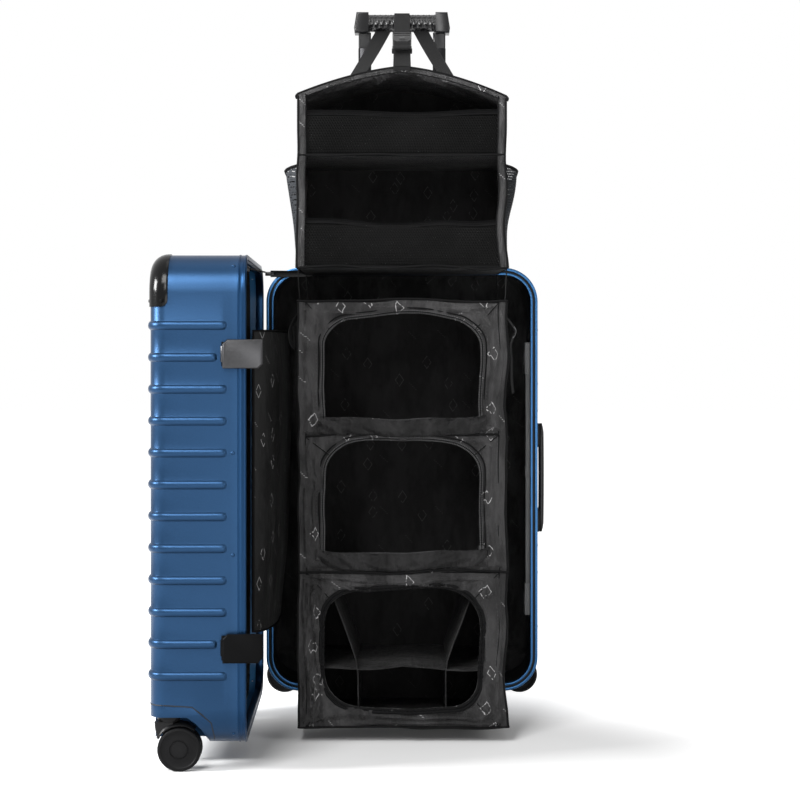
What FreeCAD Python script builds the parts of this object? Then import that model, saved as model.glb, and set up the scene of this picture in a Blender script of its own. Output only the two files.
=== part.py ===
"""Wardrobe trunk: a hard-shell spinner case stood open at its hinges, with a hanging shelf on its pull handle.

The origin is on the floor under the middle of the back half's rim. +X is to the right, +Y into the back half
and +Z up. Sizes are in millimetres. The door half is modelled shut and then turned about the hinge pins.
"""

import FreeCAD, Part
import math
import os
import re
from FreeCAD import Placement, Rotation, Vector

# ---------------------------------------------------------------------------------------------------- sizes
SIZES = {
    # the two halves
    "case_width": 405.5,
    "case_height": 633,
    "floor_gap": 34,
    "back_depth": 212,
    "door_depth": 123,
    "corner_radius": 50,
    "edge_radius": 22,
    "inner_bevel": 15,
    "wall": 2.5,
    "door_angle": 89,
    # rim frames and their seal
    "rim_depth": 10,
    "rim_width": 10,
    "rim_lip": 0.8,
    "lip_width": 2.2,
    "groove_width": 3.2,
    "groove_depth": 3,
    "tongue_width": 2.4,
    "tongue_height": 1.2,
    "seal_width": 3,
    "seal_height": 1.4,
    # pressed ribs
    "rib_count": 12,
    "rib_pitch": 40.8,
    "rib_width": 10,
    "rib_height": 3.2,
    "rib_start": 26,
    "rib_start_short": 39,
    # linings
    "lining_gap": 0.3,
    "lining_wall": 1.4,
    "back_lining_depth": 142,
    "door_lining_depth": 104,
    # corner guards
    "guard_wall": 1.6,
    "guard_reach": 27,
    "guard_leg": 68,
    # wheel housings and casters
    "housing_reach": 82,
    "housing_rise": 54.5,
    "well_reach": 76.5,
    "well_rise": 39,
    "caster_inset": 30,
    "door_caster_inset": 23,
    "wheel_radius": 28.5,
    "wheel_width": 10,
    "caster_trail": 14,
    "web_width": 8,
    "axle_radius": 4,
    "running_gap": 0.06,
    "stem_radius": 5,
    "stem_length": 12,
    "swivel_radius": 13,
    "swivel_height": 6,
    "hood_wall": 2.5,
    "hood_gap": 2,
    # hinges
    "hinge_offset": 4.45,
    "hinge_spacing": 265,
    "hinge_height": 60,
    "knuckle_radius": 3,
    "hinge_pin_radius": 1.5,
    "leaf_length": 22,
    "leaf_wall": 1.8,
    # latches
    "latch_spacing": 375.6,
    "latch_length": 51,
    "latch_height": 37,
    "latch_wall": 5.2,
    "latch_pivot": 28,
    "latch_stand": 6.8,
    "latch_corner": 6,
    "latch_base_inset": 3,
    "latch_plate_length": 15,
    "latch_plate_wall": 1.4,
    "latch_ear_width": 3.6,
    "latch_ear_height": 5,
    "latch_pin_radius": 1.5,
    "lock_depth": 22,
    "lock_wall": 11,
    "lock_block_height": 42,
    # pull handle
    "tube_spacing": 118,
    "tube_y": 165,
    "stage_travel": 182,
    "outer_tube_width": 27.6,
    "outer_tube_depth": 20,
    "mid_tube_width": 24,
    "mid_tube_depth": 16.4,
    "inner_tube_width": 20.4,
    "inner_tube_depth": 13,
    "tube_wall": 1.3,
    "tube_bevel": 0.2,
    "mid_tube_length": 520,
    "inner_tube_length": 420,
    "neck_width": 19.6,
    "neck_depth": 10,
    "neck_length": 23,
    "foot_height": 16,
    "foot_depth": 24,
    "foot_overhang": 4,
    "bezel_wall": 2,
    "grip_radius": 14,
    "grip_length": 106,
    "grip_height": 1063.5,
    "cap_width": 25,
    "button_length": 30,
    "button_width": 10,
    "button_height": 8,
    "button_travel": 3,
    # carry handles
    "carry_length": 165,
    "carry_width": 20,
    "carry_wall": 7.5,
    "carry_mount_length": 36,
    "carry_mount_width": 26,
    "carry_mount_height": 6,
    "carry_travel": 8,
    "carry_post_radius": 4,
    "side_carry_y": 45,
    "top_carry_y": 60,
    # hanging shelf
    "shelf_width": 288,
    "shelf_front": 215,
    "shelf_back": 8,
    "fabric": 1.7,
    "soft_gap": 0.3,
    "board": 3,
    "tier_5_floor": 24,
    "tier_4_floor": 237,
    "tier_3_floor": 426,
    "lower_roof": 613,
    "tier_2_floor": 660,
    "tier_1_floor": 815,
    "roof_corner": 893,
    "roof_rise": 39,
    "roof_overhang": 2,
    "opening_width": 214,
    "opening_radius": 34,
    "tier_3_opening_top": 588,
    "tier_3_opening_base": 449,
    "tier_4_opening_top": 419,
    "tier_4_opening_base": 264,
    "tier_5_opening_top": 212,
    "tier_5_opening_base": 50,
    "mesh_1_height": 62,
    "mesh_2_height": 64,
    "pocket_top": 800,
    "pocket_base": 668,
    "pocket_flare": 19,
    "divider_x": 61,
    "divider_z": 103,
    "divider_top": 198,
    "divider_wall": 1.5,
    "zip_rail_x": 110,
    "zip_slider_height": 14,
    "zip_pull_length": 26,
    # webbing
    "webbing_width": 25,
    "webbing": 1.6,
    "buckle_length": 62,
    "buckle_width": 28,
    "buckle_wall": 10,
    "side_strap_spread": 30,
    "side_strap_reach": 62,
    "panel_base": 122,
    "panel_height": 417,
    "panel_swell": 46,
    "panel_fold": 34,
    "panel_reach": 226,
    "panel_wall": 3,
    "stay_x": 134,
    "stay_height": 10,
    "stay_cord_radius": 1.3,
    "stay_tab_inset": 40,
    "stay_tab_drop": 18,
}

doc = FreeCAD.newDocument("WardrobeTrunk")
sheet = doc.addObject("Spreadsheet::Sheet", "Sizes")
for row, (alias, value) in enumerate(SIZES.items(), 1):
    sheet.set(f"A{row}", alias)
    sheet.set(f"B{row}", str(value))
    sheet.setAlias(f"B{row}", alias)
doc.recompute()


class S:
    """The sheet's values, for profiles whose points are worked out here."""


for alias, value in SIZES.items():
    setattr(S, alias, value)

WORDS = re.compile(r"\b(" + "|".join(sorted(SIZES, key=len, reverse=True)) + r")\b")
NODES = {}


def cells(text):
    """An expression over the sheet, from the plain names of its cells."""
    return WORDS.sub(r"Sizes.\1", str(text))


def bind(obj, **sizes):
    for name, text in sizes.items():
        obj.setExpression(name, cells(text))


def place(obj, x="0", y="0", z="0", axis=(0, 0, 1), angle=None):
    if angle is not None:
        obj.Placement = Placement(Vector(), Rotation(Vector(*axis), 1.0))
        obj.setExpression(".Placement.Rotation.Angle", cells(angle))
    for letter, text in zip("xyz", (x, y, z)):
        obj.setExpression(f".Placement.Base.{letter}", cells(text))
    return obj


def box(name, x, y, z, dx, dy, dz):
    made = doc.addObject("Part::Box", name)
    bind(made, Length=dx, Width=dy, Height=dz)
    return place(made, x, y, z)


def cylinder(name, radius, length, x, y, z, axis=(0, 0, 1), angle=None):
    made = doc.addObject("Part::Cylinder", name)
    bind(made, Radius=radius, Height=length)
    return place(made, x, y, z, axis, angle)


def fuse(name, *shapes):
    made = doc.addObject("Part::MultiFuse", name)
    made.Shapes = list(shapes)
    return made


def cut(name, base, *tools):
    made = doc.addObject("Part::Cut", name)
    made.Base = base
    made.Tool = tools[0] if len(tools) == 1 else fuse(name + "_tools", *tools)
    return made


def common(name, first, second):
    made = doc.addObject("Part::Common", name)
    made.Base, made.Tool = first, second
    return made


def node(name, *solids):
    """A sub-part of the trunk: its solids, under the name of its file."""
    if len(solids) == 1 and solids[0].TypeId != "PartDesign::Body":
        made = solids[0]
    else:
        made = doc.addObject("Part::Compound", name + "_set")
        made.Links = list(solids)
    made.Label = name
    NODES[name] = made
    return made


def door_node(name, *solids):
    """A sub-part of the door, modelled shut and turned about the hinge pins to where the door stands."""
    made = doc.addObject("Part::Compound", name + "_set")
    made.Links = list(solids)
    pin_x = "(-case_width / 2 - rim_lip - hinge_offset)"
    turn = "(door_angle * 1deg)"
    place(made, f"{pin_x} * (1 - cos{turn})", f"{pin_x} * sin{turn}", "0", (0, 0, 1), "-door_angle")
    made.Label = name
    NODES[name] = made
    return made


# ------------------------------------------------------------------------------------ bodies made of features
def body_box(name, dx, dy, dz):
    body = doc.addObject("PartDesign::Body", name)
    core = body.newObject("PartDesign::AdditiveBox", name + "_core")
    bind(core, Length=dx, Width=dy, Height=dz)
    return body


def dress(body, kind, size, chosen):
    """A fillet or chamfer on the edges of the body so far that chosen() picks."""
    doc.recompute()
    tip = body.Tip
    names = [f"Edge{i}" for i, edge in enumerate(tip.Shape.Edges, 1) if chosen(edge)]
    made = body.newObject("PartDesign::" + kind, f"{body.Name}_{kind}_{len(body.Group)}")
    made.Base = (tip, names)
    made.setExpression("Radius" if kind == "Fillet" else "Size", cells(size))


def along(axis):
    """Picks straight edges that run along an axis."""
    def chosen(edge):
        return edge.Curve.TypeId == "Part::GeomLine" and abs(edge.tangentAt(edge.FirstParameter)[axis]) > 0.999
    return chosen


def at(axis, value):
    """Picks the edges that lie in a plane square to an axis."""
    def chosen(edge):
        return all(abs(vertex.Point[axis] - value) < 1e-4 for vertex in edge.Vertexes)
    return chosen


def both(first, second):
    return lambda edge: first(edge) and second(edge)


def profile(name, plane, points, length, shift="0", mirrored=False):
    """A closed outline of straight lines in a base plane, padded square to it: from the plane on, or to both sides."""
    body = doc.addObject("PartDesign::Body", name)
    sketch = body.newObject("Sketcher::SketchObject", name + "_outline")
    base = next(f for f in body.Origin.OriginFeatures if f.Role == plane + "_Plane")
    sketch.AttachmentSupport = [(base, "")]
    sketch.MapMode = "FlatFace"
    corners = [Vector(u, v, 0) for u, v in points]
    for start, end in zip(corners, corners[1:] + corners[:1]):
        sketch.addGeometry(Part.LineSegment(start, end))
    pad = body.newObject("PartDesign::Pad", name + "_pad")
    pad.Profile = sketch
    bind(pad, Length=length)
    pad.Midplane = mirrored
    axis = {"YZ": "x", "XZ": "y", "XY": "z"}[plane]
    body.setExpression(f".Placement.Base.{axis}", cells(shift))
    return body


def band(points, thickness):
    """The outline of a strip of even thickness that starts on the given (y, z) points and lies above them."""
    outer = []
    for k, (y, z) in enumerate(points):
        (y0, z0), (y1, z1) = points[max(k - 1, 0)], points[min(k + 1, len(points) - 1)]
        length = math.hypot(y1 - y0, z1 - z0)
        outer.append((y - (z1 - z0) / length * thickness, z + (y1 - y0) / length * thickness))
    return points + outer[::-1]


def loft(name, *sections):
    """A solid drawn straight between closed outlines of as many points each."""
    made = doc.addObject("Part::Feature", name)
    made.Shape = Part.makeLoft([Part.makePolygon(points + points[:1]) for points in sections], True, True)
    return made


def turned_profile(name, points):
    """A closed outline of (radius, y) points revolved about the Y axis through the origin."""
    body = doc.addObject("PartDesign::Body", name)
    sketch = body.newObject("Sketcher::SketchObject", name + "_outline")
    base = next(f for f in body.Origin.OriginFeatures if f.Role == "XY_Plane")
    sketch.AttachmentSupport = [(base, "")]
    sketch.MapMode = "FlatFace"
    corners = [Vector(radius, along_y, 0) for radius, along_y in points]
    for start, end in zip(corners, corners[1:] + corners[:1]):
        sketch.addGeometry(Part.LineSegment(start, end))
    turned = body.newObject("PartDesign::Revolution", name + "_turned")
    turned.Profile = sketch
    turned.ReferenceAxis = (sketch, ["V_Axis"])
    turned.Angle = 360
    return body


# ------------------------------------------------------------------------------------------- the case's halves
HALVES = {"back": "back_depth", "door": "door_depth"}


def in_half(body, side, x, start, z, dx):
    """Stands a body that is drawn from its own corner in a half, start away from the parting plane.

    The door half lies the other way from that plane, so there the body is turned half round.
    """
    if side == "back":
        return place(body, x, start, z)
    return place(body, f"({x}) + ({dx})", f"-({start})", z, (0, 0, 1), "180")


def case_block(name, side, inset, start, end, rim=None):
    """A block of the case's outline, inset all round, between two distances from the parting plane.

    rim says how the edge round its far face is dressed: with a Fillet, as the case's outside is, or a Chamfer.
    """
    width, depth = f"case_width - 2 * ({inset})", f"({end}) - ({start})"
    body = body_box(name, width, depth, f"case_height - 2 * ({inset})")
    dress(body, "Fillet", f"corner_radius - ({inset})", along(1))
    if rim:
        doc.recompute()
        far = body.Tip.Shape.BoundBox.YMax
        size = {"Fillet": f"edge_radius - ({inset})", "Chamfer": "inner_bevel"}[rim]
        dress(body, rim, size, at(1, far))
    return in_half(body, side, f"-case_width / 2 + ({inset})", start, f"floor_gap + ({inset})", width)


def rib_slab(name, side, index):
    """The slab whose edge stands out of a half as one pressed rib, with sloping ends."""
    start = "rib_start_short" if index in (1, S.rib_count - 2) else "rib_start"
    width = "case_width + 2 * rib_height"
    body = body_box(name, width, f"{HALVES[side]} + rib_height - {start}", "rib_width")
    doc.recompute()
    far = body.Tip.Shape.BoundBox.YMax
    dress(body, "Fillet", "edge_radius + rib_height", both(along(2), at(1, far)))
    dress(body, "Chamfer", "rib_height * 1.6", both(along(2), at(1, 0)))
    middle = "floor_gap + case_height / 2"
    z = f"{middle} + ({index} - (rib_count - 1) / 2) * rib_pitch - rib_width / 2"
    return in_half(body, side, "-case_width / 2 - rib_height", start, z, width)


def corner_prism(name, side, left, points, reach):
    """A prism let into a bottom outer corner of a half. points are (distance in from the outer face, height)."""
    depth = getattr(S, HALVES[side])
    sign = 1 if side == "back" else -1
    outline = [(sign * (depth - inward), S.floor_gap + up) for inward, up in points]
    x = "-case_width / 2 - 5" if left else f"case_width / 2 - ({reach})"
    return profile(name, "YZ", outline, f"{reach} + 5", x)


def housing_region(name, side, left, grow=0):
    reach, rise = S.housing_reach + grow, S.housing_rise + grow
    outline = [(-5, -5), (reach, -5), (reach, 0.24 * rise), (reach - 2.5, 0.57 * rise)]
    outline += [(reach - 27, 0.96 * rise), (-5, rise)]
    return corner_prism(name, side, left, outline, f"housing_reach + {grow}")


def well_region(name, side, left):
    reach, rise = S.well_reach, S.well_rise
    outline = [(-5, -5), (reach, -5), (reach - 2, 0.15 * rise), (reach - 10, 0.56 * rise)]
    outline += [(reach - 17, 0.79 * rise), (reach - 28, rise), (-5, rise)]
    return corner_prism(name, side, left, outline, "well_reach")


def guard_region(name, side, left):
    """The top outer corner of a half that its guard takes the place of."""
    x = "-case_width / 2 - 10" if left else "case_width / 2 - guard_leg"
    y = "back_depth - guard_reach" if side == "back" else "-door_depth - 10"
    return box(name, x, y, "floor_gap + case_height - guard_leg", "guard_leg + 10", "guard_reach + 10",
               "guard_leg + 10")


def caster_place(side, left):
    """Where a caster's swivel axis stands in its closed half, as expressions."""
    inset = "caster_inset" if side == "back" else "door_caster_inset"
    x = f"{'-' if left else ''}(case_width / 2 - caster_inset)"
    y = f"back_depth - {inset}" if side == "back" else f"-(door_depth - {inset})"
    return x, y


def shell(side):
    tag = side + "_shell"
    depth = HALVES[side]
    outer = case_block(tag + "_outer", side, "0", "rim_depth", depth, "Fillet")
    ribs = [rib_slab(f"{tag}_rib_{k + 1}", side, k) for k in range(int(S.rib_count))]
    inner = case_block(tag + "_inner", side, "wall", "rim_depth - 1", f"{depth} - wall", "Chamfer")
    corners = [make(f"{tag}_{make.__name__}_{k}", side, k == 0) for make in (housing_region, guard_region)
               for k in (0, 1)]
    tools = [inner] + corners
    if side == "back":
        tools.append(box(tag + "_handle_pad", "case_width / 2", "rim_depth + 10",
                         "floor_gap + case_height / 2 - carry_length / 2 - 6", "20",
                         "side_carry_y + carry_mount_width / 2 - rim_depth - 4", "carry_length + 12"))
        for k, sign in enumerate("-+"):
            tools.append(box(f"{tag}_tube_hole_{k}", f"{sign}tube_spacing / 2 - outer_tube_width / 2 - 0.5",
                             "tube_y - outer_tube_depth / 2 - 0.5", "floor_gap + case_height - 20",
                             "outer_tube_width + 1", "outer_tube_depth + 1", "40"))
            tools.append(cylinder(f"{tag}_side_post_hole_{k}", "carry_post_radius + 1", "30",
                                  "case_width / 2 - 20", "side_carry_y",
                                  f"floor_gap + case_height / 2 {sign} {POST_SPREAD}", (0, 1, 0), "90"))
            tools.append(cylinder(f"{tag}_top_post_hole_{k}", "carry_post_radius + 1", "30",
                                  f"{sign}{POST_SPREAD}", "top_carry_y", "floor_gap + case_height - 20"))
    return cut(tag + "_body", fuse(tag + "_pressing", outer, *ribs), *tools)


def rim_ring(name, side, inset, width, start, end):
    """A ring that follows the case's outline: its outer side inset from it, between two depths."""
    outer = case_block(name + "_outside", side, inset, start, end)
    inner = case_block(name + "_inside", side, f"{inset} + {width}", f"({start}) - 1", f"({end}) + 1")
    return cut(name, outer, inner)


def rim_frame(side):
    tag = side + "_rim"
    core = rim_ring(tag + "_core", side, "0", "rim_width", "0", "rim_depth")
    lips = [rim_ring(f"{tag}_lip_{k}", side, "-rim_lip", "rim_lip + 0.5", start, f"{start} + lip_width")
            for k, start in enumerate(("0", "rim_depth - lip_width"))]
    middle = "rim_width / 2"
    if side == "door":
        tongue = rim_ring(tag + "_tongue", side, f"{middle} - tongue_width / 2", "tongue_width",
                          "-tongue_height", "0.5")
        return fuse(tag + "_frame_body", core, *lips, tongue)
    groove = rim_ring(tag + "_groove", side, f"{middle} - groove_width / 2", "groove_width", "-1", "groove_depth")
    return cut(tag + "_frame_body", fuse(tag + "_section", core, *lips), groove)


def lining(side):
    tag = side + "_lining"
    depth = f"{side}_lining_depth"
    skin = "wall + lining_gap"
    outer = case_block(tag + "_outer", side, skin, "rim_depth + 0.3", depth)
    inner = case_block(tag + "_inner", side, f"{skin} + lining_wall", "rim_depth - 1", f"{depth} - lining_wall")
    corners = [housing_region(f"{tag}_corner_{k}", side, k == 0, 1) for k in (0, 1)]
    return cut(tag + "_body", outer, inner, *corners)


def corner_guards(side):
    tag = side + "_guard"
    depth = HALVES[side]
    grown = case_block(tag + "_grown", side, "-guard_wall", "rim_depth", f"{depth} + guard_wall", "Fillet")
    inner = case_block(tag + "_inner", side, "wall", "rim_depth - 1", f"{depth} - wall", "Chamfer")
    skin = cut(tag + "_skin", grown, inner)
    return [common(f"{tag}_{k}", skin, guard_region(f"{tag}_region_{k}", side, k == 0)) for k in (0, 1)]


def wheel_housings(side):
    tag = side + "_housing"
    housings = []
    for k in (0, 1):
        x, y = caster_place(side, k == 0)
        block = case_block(f"{tag}_block_{k}", side, "0", "rim_depth", HALVES[side])
        upright = body_box(f"{tag}_upright_{k}", "case_width", HALVES[side], "housing_rise + 10")
        doc.recompute()
        dress(upright, "Fillet", "edge_radius", both(along(2), at(1, upright.Tip.Shape.BoundBox.YMax)))
        in_half(upright, side, "-case_width / 2", "0", "floor_gap - 5", "case_width")
        block = common(f"{tag}_outside_{k}", block, upright)
        region = housing_region(f"{tag}_region_{k}", side, k == 0)
        bore = cylinder(f"{tag}_bore_{k}", "stem_radius + running_gap", "stem_length + 2",
                        x, y, "floor_gap + well_rise - 1")
        well = well_region(f"{tag}_well_{k}", side, k == 0)
        housings.append(cut(f"{tag}_{k}", common(f"{tag}_corner_{k}", block, region), well, bore))
    return housings


def pair(name, spread, make):
    """Two like solids, to either side of a middle."""
    return [make(f"{name}_{k}", f"{sign}({spread})") for k, sign in enumerate("-+")]


# ------------------------------------------------------------------------------------------------------ casters
def caster(name, side, left, trail_angle, put):
    """A twin-wheel caster: its fork with stem and hood, and its two wheels on one axle."""
    x, y = caster_place(side, left)
    top = "floor_gap + well_rise - 0.3"
    stem = cylinder(name + "_stem", "stem_radius", "stem_length + 1", "0", "0", f"{top} - 1")
    plate = body_box(name + "_plate", "2 * swivel_radius", "2 * swivel_radius", "swivel_height")
    dress(plate, "Chamfer", "0.55 * swivel_radius", along(2))
    place(plate, "-swivel_radius", "-swivel_radius", f"{top} - swivel_height")
    plate_z = S.floor_gap + S.well_rise - S.swivel_height
    hub = S.axle_radius + 4
    middle, axle_z = S.caster_trail, S.wheel_radius
    web = profile(name + "_web", "XZ", [
        (1 - S.swivel_radius, plate_z), (S.swivel_radius - 1, plate_z), (middle + hub, axle_z + hub / 2),
        (middle + hub, axle_z - hub / 2), (middle + hub / 2, axle_z - hub), (middle - hub / 2, axle_z - hub),
        (middle - hub, axle_z - hub / 2), (1 - S.swivel_radius, plate_z - 12)], "web_width", mirrored=True)
    step = math.radians(20)
    radius = (S.wheel_radius + S.hood_gap) / math.cos(step / 2)
    ring = [math.radians(160) - k * step for k in range(5)]
    curve = [(middle + radius * math.cos(a), axle_z + radius * math.sin(a)) for a in ring]
    hood = profile(name + "_hood", "XZ", band(curve, S.hood_wall), "web_width + 2 * wheel_width - 2", mirrored=True)
    across = (1, 0, 0)
    bore = cylinder(name + "_bore", "axle_radius + running_gap", "60", "caster_trail", "30", "wheel_radius",
                    across, "90")
    fork = cut(name + "_fork_body", fuse(name + "_fork_set", stem, plate, web, hood), bore)
    inner, outer = S.web_width / 2 + 0.5, S.web_width / 2 + S.wheel_width
    wheels = turned_profile(name + "_wheel_pair", [
        (0, -outer), (S.wheel_radius, -outer), (S.wheel_radius, -inner), (S.axle_radius, -inner),
        (S.axle_radius, inner), (S.wheel_radius, inner), (S.wheel_radius, outer), (0, outer)])
    place(wheels, "caster_trail", "0", "wheel_radius")
    for label, solid in ((f"{name}_fork", fork), (f"{name}_wheels", wheels)):
        placed = doc.addObject("Part::Compound", label + "_at")
        placed.Links = [solid]
        place(placed, x, y, "0", (0, 0, 1), str(trail_angle))
        put(label, placed)


# ------------------------------------------------------------------------------------------------ hinges, latches
HINGE_X = "(-case_width / 2 - rim_lip - hinge_offset)"
MIDDLE = "(floor_gap + case_height / 2)"


def hinge_leaf(name, side, z):
    """A leaf on the outside of a rim, with its knuckles about the pin: the back's two outer ones, the door's inner one."""
    start = "(knuckle_radius + 0.4)"
    y = start if side == "back" else f"-{start} - leaf_length"
    leaf = box(name + "_plate", "-case_width / 2 - rim_lip - leaf_wall", y, f"{z} - hinge_height / 2",
               "leaf_wall", "leaf_length", "hinge_height")
    third = "hinge_height / 3"
    spans = [(f"{z} - hinge_height / 2", third), (f"{z} + hinge_height / 6", third)]
    if side == "door":
        spans = [(f"{z} - hinge_height / 6 + 0.2", f"{third} - 0.4")]
    parts = [leaf]
    for k, (base, high) in enumerate(spans):
        parts.append(cylinder(f"{name}_knuckle_{k}", "knuckle_radius", high, HINGE_X, "0", base))
        y = "0" if side == "back" else f"-{start} - 0.1"
        parts.append(box(f"{name}_neck_{k}", "-case_width / 2 - rim_lip - leaf_wall", y, base,
                         "leaf_wall", f"{start} + 0.1", high))
    solid = fuse(name + "_solid", *parts)
    if side == "back":
        return solid
    bore = cylinder(name + "_bore", "hinge_pin_radius + running_gap", "hinge_height", HINGE_X, "0",
                    f"{z} - hinge_height / 2")
    return cut(name, solid, bore)


def hinge_pin(name, z):
    """The part of the pin that shows between the back leaf's knuckles, which hold its ends."""
    return cylinder(name, "hinge_pin_radius", "hinge_height / 3 + 2", HINGE_X, "0", f"{z} - hinge_height / 6 - 1")


LATCH_AXIS_X = "(case_width / 2 + latch_stand / 2)"
BARREL_INSET = "latch_base_inset + latch_ear_height + soft_gap"


def latch_base(name, z):
    """The plate on the door's wall with the two ears and the pin that the lever turns on."""
    low = f"{z} - latch_height / 2 + latch_base_inset"
    plate = box(name + "_plate", "case_width / 2", "-latch_pivot - 2", low,
                "latch_plate_wall", "latch_plate_length", "latch_height - 2 * latch_base_inset")
    ears = []
    for k, base in enumerate((low, f"{z} + latch_height / 2 - latch_base_inset - latch_ear_height")):
        ears.append(box(f"{name}_ear_{k}", "case_width / 2 + 1", "-latch_pivot - latch_ear_width / 2", base,
                        "latch_stand / 2 + 1.5", "latch_ear_width", "latch_ear_height"))
    pin = cylinder(name + "_pin", "latch_pin_radius", "latch_height - 4 * latch_base_inset", LATCH_AXIS_X,
                   "-latch_pivot", f"{low} + latch_base_inset")
    ears_height = "2 * (latch_base_inset + latch_ear_height)"
    clearance = cylinder(name + "_clearance", "latch_stand / 2 + 0.2", f"latch_height - {ears_height}", LATCH_AXIS_X,
                         "-latch_pivot", f"{z} - latch_height / 2 + {ears_height} / 2")
    return fuse(name, cut(name + "_seat", fuse(name + "_body", plate, *ears), clearance), pin)


def latch_lever(name, z):
    """The lever: a bevelled plate with two cut corners, on a barrel round the pin."""
    half, low = S.latch_height / 2, -S.latch_pivot
    high, corner = low + S.latch_length, S.latch_corner
    cover = profile(name + "_cover", "YZ", [
        (low, -half), (high - corner, -half), (high, -half + corner), (high, half), (low + corner, half),
        (low, half - corner)], "latch_wall", "case_width / 2 + latch_stand")
    doc.recompute()
    face = cover.Tip.Shape.BoundBox.XMax
    dress(cover, "Chamfer", "1.4", at(0, face))
    place(cover, "case_width / 2 + latch_stand", "0", z)
    barrel_high = f"(latch_height - 2 * ({BARREL_INSET}))"
    base = f"{z} - latch_height / 2 + {BARREL_INSET}"
    barrel = cylinder(name + "_barrel", "latch_stand / 2 - 0.2", barrel_high, LATCH_AXIS_X, "-latch_pivot", base)
    neck = box(name + "_neck", LATCH_AXIS_X, "-latch_pivot", base, "latch_stand / 2 + 1", "latch_stand / 2 - 0.2",
               barrel_high)
    hook = box(name + "_hook", "case_width / 2 + rim_lip + 1", "-latch_pivot + latch_length - 9", f"{z} - 9",
               "latch_stand - rim_lip", "4", "18")
    bore = cylinder(name + "_bore", "latch_pin_radius + running_gap", "latch_height", LATCH_AXIS_X, "-latch_pivot",
                    f"{z} - latch_height / 2")
    return cut(name, fuse(name + "_solid", cover, barrel, neck, hook), bore)


# --------------------------------------------------------------------------------------------------- carry handles
POST_SPREAD = "(carry_length / 2 - carry_mount_length / 2)"


def carry_handle(name, along_axis):
    """A carry handle drawn along X on the plane z = 0: its two mounts, and its grip with two posts in their bores."""
    mounts, posts = [], []
    for k, sign in enumerate("-+"):
        middle = f"{sign}{POST_SPREAD}"
        block = body_box(f"{name}_mount_{k}", "carry_mount_length", "carry_mount_width", "carry_mount_height")
        dress(block, "Fillet", "6", along(2))
        place(block, f"{middle} - carry_mount_length / 2", "-carry_mount_width / 2", "0")
        bore = cylinder(f"{name}_bore_{k}", "carry_post_radius + running_gap", "40", middle, "0", "-20")
        mounts.append(cut(f"{name}_mount_cut_{k}", block, bore))
        posts.append(cylinder(f"{name}_post_{k}", "carry_post_radius", "carry_mount_height + wall + 1", middle, "0",
                              "-wall"))
    bar = body_box(name + "_bar", "carry_length", "carry_width", "carry_wall")
    dress(bar, "Fillet", "3", along(0))
    place(bar, "-carry_length / 2", "-carry_width / 2", "carry_mount_height + 0.3")
    grip = fuse(name + "_grip_body", bar, *posts)
    return mounts, grip


def put_carry(name, mounts, grip, x, y, z, upright):
    """Stands a carry handle on the top, or on the right wall with its length upright."""
    for label, solids in ((name + "_mounts", mounts), (name + "_grip", [grip])):
        made = doc.addObject("Part::Compound", label + "_set")
        made.Links = solids
        if upright:
            made.Placement = Placement(Vector(), Rotation(Vector(0, 1, 0), 1.0))
            made.setExpression(".Placement.Rotation.Angle", "90")
        for letter, text in zip("xyz", (x, y, z)):
            made.setExpression(f".Placement.Base.{letter}", cells(text))
        made.Label = label
        NODES[label] = made


# ---------------------------------------------------------------------------------------------------- pull handle
def tube(name, width, depth, base, length, hollow=True):
    """Two upright tubes of rounded oblong section, one each side."""
    made = []
    for k, sign in enumerate("-+"):
        outer = body_box(f"{name}_{k}", width, depth, length)
        dress(outer, "Chamfer", f"tube_bevel * ({depth})", along(2))
        place(outer, f"{sign}tube_spacing / 2 - ({width}) / 2", f"tube_y - ({depth}) / 2", base)
        if not hollow:
            made.append(outer)
            continue
        inner = body_box(f"{name}_bore_{k}", f"{width} - 2 * tube_wall", f"{depth} - 2 * tube_wall", f"{length} + 2")
        dress(inner, "Chamfer", f"tube_bevel * ({depth}) - 0.586 * tube_wall", along(2))
        place(inner, f"{sign}tube_spacing / 2 - ({width}) / 2 + tube_wall", f"tube_y - ({depth}) / 2 + tube_wall",
              f"{base} - 1")
        made.append(cut(f"{name}_wall_{k}", outer, inner))
    return made


# ------------------------------------------------------------------------------------------------------ the parts
TOP = "(floor_gap + case_height)"
GRIP_BASE = "(grip_height - grip_radius - 3)"

node("back_shell", shell("back"))
node("back_rim_frame", rim_frame("back"))
node("rim_seal", rim_ring("rim_seal_ring", "back", "rim_width / 2 - seal_width / 2", "seal_width",
                          "groove_depth - seal_height", "groove_depth"))
node("back_lining", lining("back"))
node("back_corner_guards", *corner_guards("back"))
node("back_wheel_housings", *wheel_housings("back"))

door_node("door_shell", shell("door"))
door_node("door_rim_frame", rim_frame("door"))
door_node("door_lining", lining("door"))
door_node("door_corner_guards", *corner_guards("door"))
door_node("door_wheel_housings", *wheel_housings("door"))

caster("back_left_caster", "back", True, 180, node)
caster("back_right_caster", "back", False, 0, node)
caster("door_latch_caster", "door", False, 90, door_node)
caster("door_hinge_caster", "door", True, 90, door_node)

hinge_heights = pair("hinge", "hinge_spacing / 2", lambda name, offset: (name, f"({MIDDLE} {offset})"))
node("hinge_back_leaves", *[fuse(name + "_back_pinned", hinge_leaf(name + "_back", "back", z),
                                 hinge_pin(name + "_pin", z)) for name, z in hinge_heights])
door_node("hinge_door_leaves", *[hinge_leaf(name + "_door", "door", z) for name, z in hinge_heights])

latch_heights = pair("latch", "latch_spacing / 2", lambda name, offset: (name, f"({MIDDLE} {offset})"))
door_node("latch_bases", *[latch_base(name + "_base", z) for name, z in latch_heights])
for (name, z), label in zip(latch_heights, ("lower_latch_lever", "upper_latch_lever")):
    door_node(label, latch_lever(name + "_lever", z))

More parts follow.
